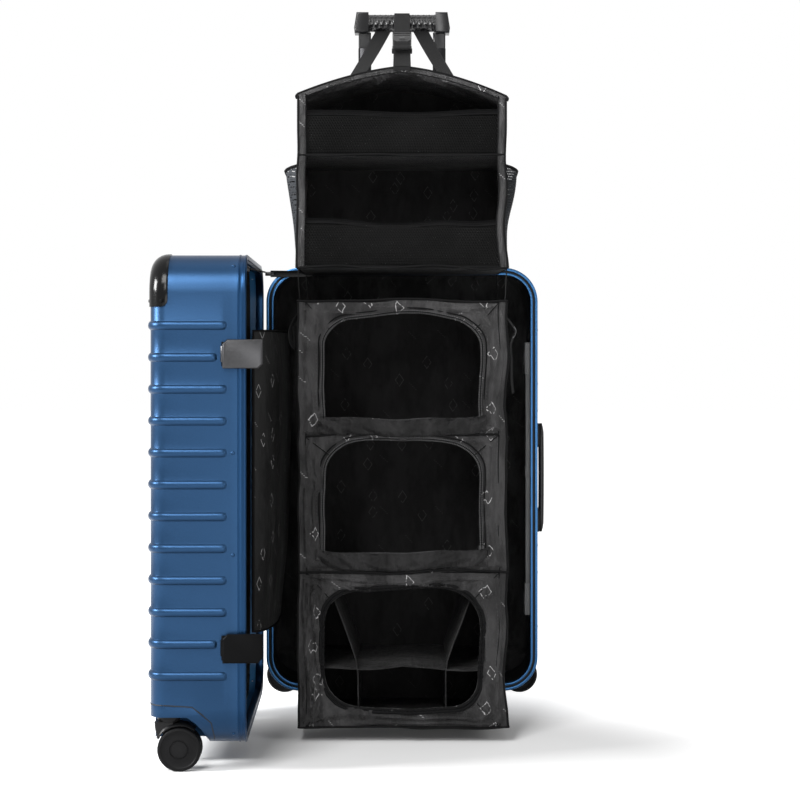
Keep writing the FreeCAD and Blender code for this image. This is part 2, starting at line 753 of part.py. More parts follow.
lock_x = "(case_width / 2 - wall - lining_gap - lining_wall - lock_wall)"
lock_ends = [box(f"{name}_keeper", lock_x, "rim_depth + 1", f"{z} - lock_block_height / 2", "lock_wall", "lock_depth",
                 "lock_block_height") for name, z in latch_heights]
node("lock_keepers", *lock_ends)
bar_low = f"{latch_heights[0][1]} + lock_block_height / 2"
bar_high = f"{latch_heights[1][1]} - lock_block_height / 2"
lock_bar = box("lock_bar_strip", f"{lock_x} + 4", "rim_depth + 6", bar_low, "lock_wall - 4", "lock_depth - 12",
               f"({bar_high}) - ({bar_low})")
lock_saddle = box("lock_bar_saddle", f"{lock_x} + 1", "rim_depth + 3", f"{MIDDLE} + 60", "lock_wall - 1",
                  "lock_depth - 6", "14")
node("lock_bar", fuse("lock_bar_body", lock_bar, lock_saddle))

side_mounts, side_grip = carry_handle("side_carry", "z")
put_carry("side_carry", side_mounts, side_grip, "case_width / 2", "side_carry_y", MIDDLE, True)
top_mounts, top_grip = carry_handle("top_carry", "x")
put_carry("top_carry", top_mounts, top_grip, "0", "top_carry_y", TOP, False)

foot_top = "(floor_gap + wall + foot_height)"
foot_length = "(tube_spacing + outer_tube_width + 2 * foot_overhang)"
node("trolley_foot", box("trolley_foot_bar", f"-{foot_length} / 2", "tube_y - foot_depth / 2", "floor_gap + wall",
                         foot_length, "foot_depth", "foot_height"))
node("trolley_outer_tubes", *tube("outer_tube", "outer_tube_width", "outer_tube_depth", foot_top,
                                  f"{TOP} - {foot_top}"))
bezel = body_box("bezel_plate", "tube_spacing + outer_tube_width + 26", "outer_tube_depth + 16", "bezel_wall")
dress(bezel, "Fillet", "9", along(2))
dress(bezel, "Chamfer", "0.8", at(2, S.bezel_wall))
place(bezel, "-(tube_spacing + outer_tube_width + 26) / 2", "tube_y - (outer_tube_depth + 16) / 2", TOP)
bezel_holes = [box(f"bezel_hole_{k}", f"{sign}tube_spacing / 2 - mid_tube_width / 2 - 0.4",
                   "tube_y - mid_tube_depth / 2 - 0.4", f"{TOP} - 5", "mid_tube_width + 0.8",
                   "mid_tube_depth + 0.8", "20") for k, sign in enumerate("-+")]
node("trolley_bezel", cut("bezel_body", bezel, *bezel_holes))
mid_top = f"({TOP} + stage_travel + 6)"
node("trolley_mid_tubes", *tube("mid_tube", "mid_tube_width", "mid_tube_depth", f"{mid_top} - mid_tube_length",
                                "mid_tube_length"))
inner_top = f"({GRIP_BASE} - neck_length)"
node("trolley_inner_tubes", *tube("inner_tube", "inner_tube_width", "inner_tube_depth",
                                  f"{inner_top} - inner_tube_length", "inner_tube_length"))

# the grip between its two flared end caps, each with a neck down to its tube
neck = tube("neck", "neck_width", "neck_depth", inner_top, "neck_length + 2", hollow=False)
outside, cap_low, cap_high = S.tube_spacing / 2 + 17, S.grip_height - S.grip_radius - 3, S.grip_height + 16
caps = []
for k, sign in enumerate((-1, 1)):
    outline = [(S.grip_length / 2, cap_low), (outside - 1, cap_low), (outside, cap_low + 8),
               (outside - 4, cap_high), (S.grip_length / 2, cap_high)]
    cap = profile(f"end_cap_{k}", "XZ", [(sign * u, v) for u, v in outline], "2 * grip_radius + 2", mirrored=True)
    dress(cap, "Fillet", "3", lambda edge: not along(1)(edge) and not at(0, sign * S.grip_length / 2)(edge))
    place(cap, "0", "tube_y", "0")
    caps.append(fuse(f"end_cap_neck_{k}", cap, neck[k]))
node("grip_end_caps", *caps)
across = (0, 1, 0)
bar = cylinder("grip_cylinder", "grip_radius", "grip_length", "-grip_length / 2", "tube_y", "grip_height", across, "90")
button_low = "(grip_height - grip_radius - 1.5)"
pocket = box("grip_pocket", "-button_length / 2 - 0.3", "tube_y - button_width / 2 - 0.3", "grip_height - 30",
             "button_length + 0.6", "button_width + 0.6", "30 - grip_radius - 1.5 + button_height + button_travel + 0.5")
node("grip_bar", cut("grip_bar_body", bar, pocket))
button = body_box("button_block", "button_length", "button_width", "button_height")
dress(button, "Chamfer", "1", at(2, 0))
place(button, "-button_length / 2", "tube_y - button_width / 2", button_low)
node("release_button", button)

# --------------------------------------------------------------------------------------------------- the webbing
def strap_profile(name, points, width, x="0"):
    """A strap whose side view is a band between (y, z) points, centred on an x."""
    made = profile(name, "YZ", points, width, "0", mirrored=True)
    return place(made, x, "0", "0")


roof_top = S.roof_corner + S.roof_rise
front_y, back_y = -S.shelf_front, -S.shelf_back
wrap = S.grip_radius + S.soft_gap
slope = math.atan2(S.grip_height + wrap - roof_top, S.tube_y + S.shelf_front)
wrap_start = math.pi / 2 + slope
wrap_angles = [wrap_start - k * math.radians(25) for k in range(6)]
loop = [(S.tube_y + wrap * math.cos(a), S.grip_height + wrap * math.sin(a)) for a in wrap_angles]
strap_foot = (front_y + 3, roof_top + S.soft_gap)
run_y, run_z = loop[0][0] - strap_foot[0], loop[0][1] - strap_foot[1]
run = math.hypot(run_y, run_z)
buckle_middle = 0.47
buckle_half = S.buckle_length / 2 / run


def on_run(share):
    return strap_foot[0] + share * run_y, strap_foot[1] + share * run_z


clear = S.soft_gap / run
upper = band([on_run(buckle_middle + buckle_half + clear)] + loop, S.webbing)
lower = band([on_run(0), on_run(buckle_middle - buckle_half - clear)], S.webbing)
node("hanger_strap", strap_profile("strap_upper", upper, "webbing_width"),
     strap_profile("strap_lower", lower, "webbing_width"))
near, far = on_run(buckle_middle - buckle_half), on_run(buckle_middle + buckle_half)
sink = (S.buckle_wall - S.webbing) / 2 / run
buckle_line = [(y + sink * run_z, z - sink * run_y) for y, z in (near, far)]
buckle = strap_profile("buckle_block", band(buckle_line, S.buckle_wall), "buckle_width")
dress(buckle, "Chamfer", "2.2", lambda edge: not at(0, S.buckle_width / 2)(edge) and not at(0, -S.buckle_width / 2)(edge)
      and abs(edge.tangentAt(edge.FirstParameter).x) > 0.9)
notch_y, notch_z = on_run(buckle_middle - 0.15 * buckle_half)
notches = pair("buckle_notch", "buckle_width / 2", lambda name, x: cylinder(
    name, "4.5", "40", x, str(notch_y), str(notch_z - 20)))
node("hanger_buckle", cut("buckle_body", buckle, *notches))

# two straps run from under the grip out to the roof near its front corners, and turn to lie along its slope
roof_radius = ((S.shelf_width / 2 + S.roof_overhang) ** 2 + S.roof_rise ** 2) / (2 * S.roof_rise)
side_straps = []
for k, sign in enumerate((-1, 1)):
    reach = S.side_strap_reach
    tilt = math.asin(reach / roof_radius)
    on_roof = roof_top - roof_radius * (1 - math.cos(tilt)) + S.soft_gap
    ends = ((Vector(sign * S.side_strap_spread, S.tube_y - 4, S.grip_height - wrap - S.webbing), 0),
            (Vector(sign * reach, front_y + 12, on_roof), tilt))
    sections = []
    for middle, angle in ends:
        across = Vector(math.cos(angle), 0, -sign * math.sin(angle)) * (S.webbing_width / 2)
        up = Vector(sign * math.sin(angle), 0, math.cos(angle)) * S.webbing
        sections.append([middle - across, middle + across, middle + across + up, middle - across + up])
    side_straps.append(loft(f"side_strap_{k}", *sections))
node("hanger_side_straps", *side_straps)

# ------------------------------------------------------------------------------------------------ the hanging shelf
INSIDE = "(shelf_width / 2 - fabric - soft_gap)"
DEPTH = "(shelf_front - shelf_back)"


def shelf_board(name, top):
    """A stiffened floor, held clear of the fabric round it."""
    return node(name, box(name + "_panel", f"-{INSIDE}", "-shelf_front + fabric + soft_gap", f"{top} - board",
                          f"2 * {INSIDE}", f"{DEPTH} - 2 * (fabric + soft_gap)", "board"))


for label, top in (("tier_1_floor", "tier_1_floor"), ("tier_2_floor", "tier_2_floor"), ("lower_roof", "lower_roof"),
                   ("tier_3_floor", "tier_3_floor"), ("tier_4_floor", "tier_4_floor"),
                   ("tier_5_floor", "tier_5_floor")):
    shelf_board(label, top)


def arc_points(half, corner, rise, count):
    """Points on the circle through (-half, corner), (0, corner + rise) and (half, corner)."""
    radius = (half ** 2 + rise ** 2) / (2 * rise)
    reach = math.asin(half / radius)
    return [(radius * math.sin(reach * (2 * k / count - 1)),
             corner + rise - radius + radius * math.cos(reach * (2 * k / count - 1))) for k in range(count + 1)]


roof_half = S.shelf_width / 2 + S.roof_overhang
over = arc_points(roof_half, S.roof_corner, S.roof_rise, 10)
under = [(x, z - S.board) for x, z in over]
node("shelf_roof", profile("roof_canopy", "XZ", over + under[::-1], DEPTH, "-shelf_back"))

walls_outer = box("upper_walls_outer", "-shelf_width / 2", "-shelf_front", "tier_2_floor - board",
                  "shelf_width", DEPTH, "roof_corner - soft_gap - tier_2_floor")
walls_inner = box("upper_walls_inner", "-shelf_width / 2 + fabric", "-shelf_front - 1", "tier_2_floor - 50",
                  "shelf_width - 2 * fabric", f"{DEPTH} + 1 - fabric", "400")
gable_foot = S.roof_corner - S.board - S.soft_gap - 1
gable_top = [(x, z - S.board - S.soft_gap) for x, z in over if abs(x) < S.shelf_width / 2 - S.fabric]
gable = profile("upper_gable", "XZ", [(gable_top[0][0], gable_foot)] + gable_top + [(gable_top[-1][0], gable_foot)],
                "fabric", "-shelf_back")
node("upper_unit_walls", fuse("upper_walls_set", cut("upper_walls_body", walls_outer, walls_inner), gable))


def front_opening(name, base, top, arched):
    """The cutter for an opening in the lower unit's front, with rounded corners: all four, or the top two."""
    body = body_box(name, "opening_width", "12", f"({top}) - ({base})")
    doc.recompute()
    high = body.Tip.Shape.BoundBox.ZMax
    dress(body, "Fillet", "opening_radius", both(along(1), at(2, high)) if arched else along(1))
    return place(body, "-opening_width / 2", "-shelf_front - 4", base)


tower = box("lower_walls_outer", "-shelf_width / 2", "-shelf_front", "tier_5_floor - board", "shelf_width", DEPTH,
            "lower_roof - tier_5_floor + board")
hollow = box("lower_walls_inner", "-shelf_width / 2 + fabric", "-shelf_front + fabric", "tier_5_floor - 50",
             "shelf_width - 2 * fabric", f"{DEPTH} - 2 * fabric", "800")
openings = [front_opening(f"tier_{k}_opening", f"tier_{k}_opening_base", f"tier_{k}_opening_top", k < 5)
            for k in (3, 4, 5)]
node("lower_unit_walls", cut("lower_walls_body", tower, hollow, *openings))

mesh_y = "-shelf_front + soft_gap"
meshes = [box(f"mesh_{k}", "-shelf_width / 2 + fabric + soft_gap", mesh_y, f"tier_{k}_floor + soft_gap",
              "shelf_width - 2 * (fabric + soft_gap)", "fabric - soft_gap", f"mesh_{k}_height") for k in (1, 2)]
node("mesh_pockets", *meshes)

pockets = []
for k, sign in enumerate((-1, 1)):
    wall_x = S.shelf_width / 2 + S.soft_gap
    thick = S.fabric
    outer_outline = [(wall_x, S.pocket_base), (wall_x + 4, S.pocket_base), (wall_x + S.pocket_flare, S.pocket_top),
                     (wall_x, S.pocket_top)]
    inner_outline = [(wall_x + thick, S.pocket_base + 10), (wall_x + 4, S.pocket_base + 10),
                     (wall_x + S.pocket_flare - thick, S.pocket_top + 5), (wall_x + thick, S.pocket_top + 5)]
    outer = profile(f"pocket_outer_{k}", "XZ", [(sign * u, v) for u, v in outer_outline], f"{DEPTH} - 24",
                    "-shelf_back - 12")
    inner = profile(f"pocket_inner_{k}", "XZ", [(sign * u, v) for u, v in inner_outline],
                    f"{DEPTH} - 24 - 2 * fabric", "-shelf_back - 12 - fabric")
    pockets.append(cut(f"side_pocket_{k}", outer, inner))
node("side_pockets", *pockets)

tapes = [box(f"corner_tape_{k}_{j}", f"{sign}({INSIDE} - 4) - 4", y, "lower_roof + soft_gap", "8", "1.2",
             "tier_2_floor - board - lower_roof - 2 * soft_gap")
         for k, sign in enumerate("-+") for j, y in enumerate(("-shelf_front + 3", "-shelf_back - 4.2"))]
node("corner_tapes", *tapes)

divider_back = "(-shelf_front + fabric + 8)"
divider_depth = f"({DEPTH} - 2 * fabric - 9)"
divider_floor = "(tier_5_floor + soft_gap)"
uprights = [box(f"divider_upright_{k}", f"{sign}divider_x - divider_wall / 2", divider_back, divider_floor,
                "divider_wall", divider_depth, f"divider_top - {divider_floor}") for k, sign in enumerate("-+")]
level = box("divider_level", "-shelf_width / 2 + fabric + soft_gap", divider_back, "divider_z",
            "shelf_width - 2 * (fabric + soft_gap)", divider_depth, "divider_wall")
node("tier_5_dividers", fuse("dividers_body", level, *uprights))

for tier in (3, 4):
    name = f"tier_{tier}_zip_slider"
    base = f"tier_{tier}_opening_base - zip_pull_length"
    pull = box(name + "_pull", "zip_rail_x - 2.5", "-shelf_front - soft_gap - 2", base, "5", "2", "zip_pull_length")
    slider = box(name + "_block", "zip_rail_x - 4", "-shelf_front - soft_gap - 4",
                 f"{base} + zip_pull_length - 4", "8", "4", "zip_slider_height")
    node(name, fuse(name + "_body", slider, pull))

# ---------------------------------------------------------------------------------- the door's panel and the stay
panel_low = S.floor_gap + S.panel_base
heights = [panel_low + share * S.panel_height for share in (0, 0.35, 0.75, 1)]
swollen = [share * S.panel_swell for share in (0.62, 0.95, 1, 0.65)]
flat = [0, 0, 0, 0]
sections = []
for reach, swell in ((S.rim_width + S.soft_gap, flat), (S.panel_fold, swollen), (S.panel_reach, flat)):
    line = band(list(zip((-1.5 + out for out in swell), heights)), S.panel_wall)
    sections.append([Vector(-S.case_width / 2 + reach, out, z) for out, z in line])
door_node("divider_panel", loft("panel_sheet", *sections))

stay_z = f"({TOP} - 3.5)"
webbing = box("stay_webbing", "-case_width / 2 + 25", "-webbing - soft_gap", f"{stay_z} - stay_height",
              f"case_width / 2 - 25 - stay_x", "webbing", "stay_height")
clip = box("stay_clip", "-case_width / 2 + 11", "-4 - soft_gap", f"{stay_z} - stay_height / 2 - 3.5", "14", "4", "7")
tail = box("stay_tail", "-case_width / 2 - 2", "-2.5 - soft_gap", f"{stay_z} - stay_height / 2 - 1.3", "13.2", "2.6", "2.6")
node("stay_strap", fuse("stay_body", webbing, clip, tail))
cord_y = S.tongue_height + S.stay_cord_radius + S.soft_gap
cord_start = Vector(S.case_width / 2 - S.stay_tab_inset, cord_y, S.floor_gap + S.case_height - S.stay_tab_drop)
cord_end = Vector(-S.case_width / 2 + 1, cord_y, S.floor_gap + S.case_height - 6)
cord = doc.addObject("Part::Feature", "stay_cord_run")
cord.Shape = Part.makeCylinder(S.stay_cord_radius, (cord_end - cord_start).Length, cord_start, cord_end - cord_start)
tab = box("stay_tab", "case_width / 2 - stay_tab_inset - 4", "-6", f"{TOP} - stay_tab_drop - 4", "12", "9.5", "7")
door_node("stay_cord", fuse("stay_cord_body", cord, tab))

# -------------------------------------------------------------------------------------------------- check and write
doc.recompute()
failed = [o.Name for o in doc.Objects if {"Invalid", "Error"} & set(o.State)]
if failed:
    raise SystemExit(f"these objects did not build: {failed}")
for label, made in NODES.items():
    if made.Shape.isNull() or not made.Shape.isValid() or not made.Shape.Solids:
        raise SystemExit(f"{label} has no valid solid")
os.makedirs("parts", exist_ok=True)
for label, made in NODES.items():
    made.Shape.exportStep(f"parts/{label}.step")
print(len(NODES), "nodes,", sum(len(made.Shape.Solids) for made in NODES.values()), "solids")
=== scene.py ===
"""Wardrobe trunk, dressed: shells, casters, handle, webbing and hanging shelf as they look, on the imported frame.

Points are written in millimetres in the frame's axes and turned into metres when a mesh is made.
A part is a pair of its points and its faces, and a piece is made of one or more parts.
"""
import bpy
import bmesh
from math import atan2, copysign, cos, exp, hypot, pi, radians, sin, sqrt
from mathutils import Matrix, Vector, noise


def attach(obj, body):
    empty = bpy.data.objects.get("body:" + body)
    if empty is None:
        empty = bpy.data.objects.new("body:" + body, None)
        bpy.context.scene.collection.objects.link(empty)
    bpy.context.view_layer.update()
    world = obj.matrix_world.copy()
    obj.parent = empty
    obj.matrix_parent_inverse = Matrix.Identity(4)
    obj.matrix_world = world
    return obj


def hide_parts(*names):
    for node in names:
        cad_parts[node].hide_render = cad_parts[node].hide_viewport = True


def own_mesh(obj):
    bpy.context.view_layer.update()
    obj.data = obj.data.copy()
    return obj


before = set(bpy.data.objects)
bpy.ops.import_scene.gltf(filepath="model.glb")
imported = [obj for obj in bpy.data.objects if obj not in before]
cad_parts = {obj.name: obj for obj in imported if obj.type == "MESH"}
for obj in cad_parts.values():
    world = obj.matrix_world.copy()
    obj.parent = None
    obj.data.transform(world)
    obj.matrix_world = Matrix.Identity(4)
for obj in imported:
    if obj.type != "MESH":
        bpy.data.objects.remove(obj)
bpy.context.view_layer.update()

# --- sizes: the case's width, underside and top, the radii of its corners and of the edges of its big faces,
# each half's depth, where its lining starts and ends, and the shelf's half width, front and back
WIDTH, FLOOR, TOP, CORNER, EDGE = 405.5, 34.0, 667.0, 50.0, 22
MIDDLE_Z = (FLOOR + TOP) / 2
DEPTH = {"back": 212.0, "door": 123.0}
LINED = {"back": (10.4, 142.0), "door": (19.5, 104.0)}
BODY = {"back": "back_case", "door": "door"}
HINGE_X = -(WIDTH / 2 + 0.8 + 4.45)
DOOR_ANGLE = radians(-89)
HALF_W, FRONT, BACK = 144.0, -215.0, -8.0
RIBS = [MIDDLE_Z + (k - 5.5) * 40.8 for k in range(12)]
RIB_STEPS = (-6.4, -5.7, -5.1, -4.2, -3.0, -1.5, 0, 1.5, 3.0, 4.2, 5.1, 5.7, 6.4)
RIB_ENDS = [22.5, 23.4, 24.4, 25.6, 27, 29, 34.9, 35.9, 36.9, 38.2, 39.6, 41.5, 64, 65.2, 66.4, 68, 70, 72]
GRIP = Vector((0, 165, 1063.5))
ROOF_TOP = 932.0


def in_half(side, x, depth, z):
    """A point of a closed half, depth away from the parting plane, where that half stands."""
    if side == "back":
        return (x, depth, z)
    dx, y = x - HINGE_X, -depth
    c, s = cos(DOOR_ANGLE), sin(DOOR_ANGLE)
    return (HINGE_X + dx * c - y * s, dx * s + y * c, z)


def ripple(x, y, z, scale=1.0):
    """Smooth noise about 0 at a place."""
    return noise.noise(Vector((x, y, z)) * scale)


def span(start, end, steps):
    """Evenly spaced numbers from start to end."""
    return [start + (end - start) * k / steps for k in range(steps + 1)]


# --- materials
def put(socket, value):
    """A number, a colour, a vector or another node's output, put into an input."""
    if isinstance(value, (int, float)):
        socket.default_value = value
    elif isinstance(value, tuple):
        socket.default_value = value if socket.type == "VECTOR" else (*value, 1)
    else:
        socket.id_data.links.new(value, socket)


def node(tree, kind, inputs=None, **settings):
    """A new shader node with its settings and inputs."""
    made = tree.nodes.new("ShaderNode" + kind)
    for key, value in settings.items():
        setattr(made, key, value)
    for key, value in (inputs or {}).items():
        put(made.inputs[key], value)
    return made


def reckoner(operation):
    """A function of numbers and outputs that makes a math node and gives its output."""
    def reckon(*values):
        tree = next(v.id_data for v in values if not isinstance(v, (int, float)))
        return node(tree, "Math", dict(enumerate(values)), operation=operation).outputs[0]
    return reckon


plus, minus, times, scaled, sine, size, below, above, greater = map(reckoner, (
    "ADD", "SUBTRACT", "MULTIPLY", "MULTIPLY_ADD", "SINE", "ABSOLUTE", "LESS_THAN", "GREATER_THAN", "MAXIMUM"))


def tint(colour, by, more=0.0):
    return tuple(min(1, c * by + more) for c in colour)


class Look:
    """A new material and its nodes."""

    def __init__(self, name):
        self.material = bpy.data.materials.new(name)
        self.material.use_nodes = True
        self.tree = self.material.node_tree
        self.place = self.add("TexCoord").outputs["Object"]

    def add(self, kind, inputs=None, **settings):
        return node(self.tree, kind, inputs, **settings)

    def noise(self, scale, detail, stretch=(1, 1, 1)):
        at = self.add("Mapping", {"Scale": stretch, "Vector": self.place}).outputs[0]
        return self.add("TexNoise", {"Scale": scale, "Detail": detail, "Vector": at}).outputs["Fac"]

    def ramp(self, value, low, high, first=0.3, last=0.7):
        made = self.add("ValToRGB", {"Fac": value})
        for element, colour, at in zip(made.color_ramp.elements, (low, high), (first, last)):
            element.color, element.position = (*colour, 1), at
        return made.outputs["Color"]

    def mix(self, share, first, second):
        return self.add("Mix", {"Factor": share, 6: first, 7: second}, data_type="RGBA").outputs[2]

    def pale_edges(self, amount):
        """A mask that is bright along edges and corners, for a lighter colour there."""
        shape = self.add("NewGeometry")
        return self.ramp(shape.outputs["Pointiness"], (0, 0, 0), (amount,) * 3, 0.53, 0.62)

    def wall_axes(self):
        """The way along a wall of any facing, and the height."""
        split = self.add("SeparateXYZ", {0: self.place}).outputs
        return plus(split["X"], split["Y"]), split["Z"]

    def done(self, height, distance, strength, **values):
        """The material, with a bump and other values on its shader."""
        bump = self.add("Bump", {"Height": height, "Distance": distance, "Strength": strength})
        for key, value in {**values, "Normal": bump.outputs[0]}.items():
            put(self.tree.nodes["Principled BSDF"].inputs[key.replace("_", " ")], value)
        return self.material


def metal_paint(name, colour, metallic, roughness):
    n = Look(name)
    speck = n.noise(520, 2)
    base = n.ramp(n.noise(6, 4), tint(colour, 0.94), tint(colour, 1.06))
    base = n.mix(times(speck, 0.3), base, tint(colour, 1.8))
    # lighter colour along edges and corners
    base = n.mix(n.pale_edges(0.2), base, tint(colour, 2.2))
    return n.done(speck, 0.0002, 0.5, Base_Color=base, Metallic=metallic, Specular_IOR_Level=0.15,
                  Roughness=plus(times(speck, 0.12), roughness - 0.06))


def plastic(name, colour, roughness, grain=0.00008, specular=0.25):
    n = Look(name)
    cloud, fine = n.noise(22, 4), n.noise(1500, 2)
    base = n.ramp(cloud, tint(colour, 0.85), tint(colour, 1.15))
    # lighter colour along edges and corners
    base = n.mix(n.pale_edges(0.25), base, tint(colour, 2.0, 0.01))
    return n.done(fine, grain, 0.5, Base_Color=base, Specular_IOR_Level=specular,
                  Roughness=plus(times(cloud, 0.14), roughness - 0.07))


def brushed(name, colour, roughness, stretch):
    n = Look(name)
    lines = n.noise(260, 4, stretch)
    return n.done(lines, 0.00003, 0.5, Base_Color=n.ramp(lines, tint(colour, 0.86), colour), Metallic=0.9,
                  Roughness=plus(times(lines, 0.18), roughness - 0.06))


def motifs(n, across, up):
    """Sparse small broken diamonds and rows of dashes, scattered by cells."""
    diamond_reach, line_half, dash_half, dash_turns = 0.0078, 0.00068, 0.0010, 2600
    flat = n.add("CombineXYZ", {0: across, 1: up}).outputs[0]
    cells = n.add("TexVoronoi", {"Scale": 25, "Randomness": 0.75, "Vector": flat}, voronoi_dimensions="2D").outputs
    offset = n.add("VectorMath", {0: flat, 1: cells["Position"]}, operation="SUBTRACT").outputs[0]
    split = n.add("SeparateXYZ", {0: offset}).outputs
    u, v = size(split[0]), split[1]
    reach = plus(times(u, 1.25), times(size(v), 0.85))
    outline = below(size(minus(reach, diamond_reach)), line_half)
    pick = n.add("SeparateColor", {0: cells["Color"]}).outputs[0]
    diamonds = times(times(outline, above(n.noise(210, 1), 0.44)), above(pick, 0.5))
    row = times(below(size(plus(split[0], v)), dash_half), below(size(v), 0.006))
    dashes = times(times(row, above(sine(times(v, dash_turns)), 0.35)), below(pick, 0.32))
    return greater(diamonds, times(dashes, 0.7))


def fabric(name, colour, roughness=0.5, pitch=0.0016, printed=0.0, crease=0.0016):
    """Woven nylon: a fine weave over soft creases, with painted shade in the creases and painted light on their
    ridges, and a faint print if asked.
    """
    n = Look(name)
    across, up = n.wall_axes()
    turns = 2 * pi / pitch
    weave = plus(times(sine(times(across, turns)), sine(times(up, turns))), times(n.noise(60, 4), 0.6))
    folds = plus(n.noise(34, 4, (1, 1, 0.4)), times(n.noise(110, 3, (1, 1, 0.45)), 0.35))
    # painted shade and light: the colour follows the folds' height, darker in the creases and lighter on their ridges
    base = n.ramp(scaled(folds, 2.2, -0.98), tint(colour, 0.5), tint(colour, 1.55))
    base = n.mix(times(n.noise(480, 2), 0.34), base, tint(colour, 2.4))
    if printed:
        base = n.mix(times(motifs(n, across, up), printed), base, (0.42, 0.415, 0.42))
    return n.done(plus(folds, times(weave, 0.02)), crease * 5, 0.9, Base_Color=base, Roughness=roughness,
                  Sheen_Weight=0.04, Sheen_Roughness=0.4, Specular_IOR_Level=0.14)


def webbing_cloth(name, colour):
    n = Look(name)
    ribs = n.add("TexWave", {"Scale": 260, "Distortion": 0.4, "Vector": n.place}, wave_type="BANDS",
                 bands_direction="DIAGONAL").outputs["Fac"]
    return n.done(ribs, 0.0003, 0.6, Base_Color=n.ramp(ribs, tint(colour, 0.7), tint(colour, 1.5), 0.2, 0.9),
                  Roughness=0.6, Specular_IOR_Level=0.02)


def mesh_cloth(name, colour, cover):
    """Knitted mesh: threads round fine holes in rows."""
    n = Look(name)
    across, up = n.wall_axes()
    turns = 2 * pi / 0.0036
    height = plus(sine(times(plus(across, times(up, 0.5)), turns)), sine(times(up, turns)))
    shade = n.ramp(n.noise(12, 4), tint(colour, 0.7), tint(colour, 1.3))
    hole = above(height, 0.75)
    # the holes keep a slight near-black cover: painted shade for the dark seen through them
    return n.done(plus(times(height, 0.08), n.noise(30, 3, (1, 1, 1.6))), 0.004, 0.6,
                  Base_Color=n.mix(hole, shade, tint(colour, 0.1)), Alpha=minus(1.0, times(hole, cover)),
                  Roughness=0.6, Specular_IOR_Level=0.03)


MAT = {
    "blue": metal_paint("shell_paint", (0.0100, 0.0308, 0.0705), 0.7, 0.34),
    # the two rim frames are of one blue: the back's is made lighter as painted light on its lines, the door's darker
    # as painted shade in its groove
    "rim": metal_paint("rim_paint", (0.026, 0.085, 0.19), 0.8, 0.3),
    "door_rim": metal_paint("door_rim_paint", (0.0065, 0.0245, 0.061), 0.8, 0.3),
    # far lighter than the shell's blue: painted light on the door rim's shaded inner flange
    "flange": plastic("rim_flange_paint", (0.04, 0.17, 0.38), 0.3, 0.00004, 0.4),
    "black": plastic("black_moulding", (0.007, 0.007, 0.0073), 0.34, specular=0.1),
    "satin": plastic("satin_moulding", (0.008, 0.008, 0.0084), 0.24, 0.00005, 0.2),
    "grip": plastic("grip_moulding", (0.012, 0.012, 0.0124), 0.26, 0.00004, 0.38),
    "grey": plastic("lock_moulding", (0.2, 0.202, 0.205), 0.4),
    "rubber": plastic("tyre_rubber", (0.0055, 0.0055, 0.0058), 0.42, 0.0001, 0.06),
    "seal": plastic("seal_rubber_look", (0.008, 0.008, 0.008), 0.6),
    "tube": brushed("tube_metal", (0.016, 0.016, 0.017), 0.2, (1, 1, 0.03)),
    "steel": brushed("small_steel", (0.7, 0.7, 0.71), 0.26, (1, 1, 1)),
    "gun": brushed("latch_gunmetal", (0.046, 0.046, 0.048), 0.3, (1, 1, 1)),
    "latch": plastic("latch_black", (0.003, 0.003, 0.0032), 0.3, 0.00004, 0.02),
    "guard": plastic("guard_black", (0.0022, 0.0022, 0.0024), 0.17, 0.00005, 0.13),
    "shelf": fabric("shelf_nylon", (0.021, 0.0206, 0.021), 0.34, printed=0.75, crease=0.003),
    "plain": fabric("shelf_nylon_plain", (0.009, 0.0088, 0.009), 0.38, crease=0.003),
    # lighter than the shelf's own nylon: painted light on the roof's shaded underside
    "canopy": fabric("canopy_nylon", (0.05, 0.049, 0.05), 0.4, printed=0.3, crease=0.003),
    # darker copy of the shelf's nylon for inner walls and dividers: painted shade
    "shelf_in": fabric("shelf_nylon_inside", (0.007, 0.0068, 0.007), 0.6, printed=0.08),
    # darker copy of the shelf's nylon for the floors' covers: painted shade
    "board": fabric("board_nylon", (0.008, 0.0078, 0.008), 0.55, printed=0.15),
    # the lining's own black, raised a little: painted light for the shaded insides of the halves
    "lining": fabric("lining_cloth", (0.027, 0.027, 0.0273), 0.42, 0.0014, printed=0.2, crease=0.003),
    "panel": fabric("panel_nylon", (0.0052, 0.0052, 0.0052), 0.5, printed=0.6, crease=0.0008),
    "mesh": mesh_cloth("pocket_mesh", (0.0045, 0.0045, 0.0045), 0.84),
    "mesh_light": mesh_cloth("side_mesh", (0.03, 0.032, 0.035), 0.9),
    "piping": webbing_cloth("piping_tape", (0.006, 0.006, 0.0062)),
    "webbing": webbing_cloth("strap_webbing", (0.011, 0.011, 0.0112)),
    "thread": plastic("stitch_thread", (0.05, 0.05, 0.051), 0.8),
    "zip": plastic("zip_teeth", (0.03, 0.03, 0.031), 0.35),
}


# --- making pieces
MADE = []


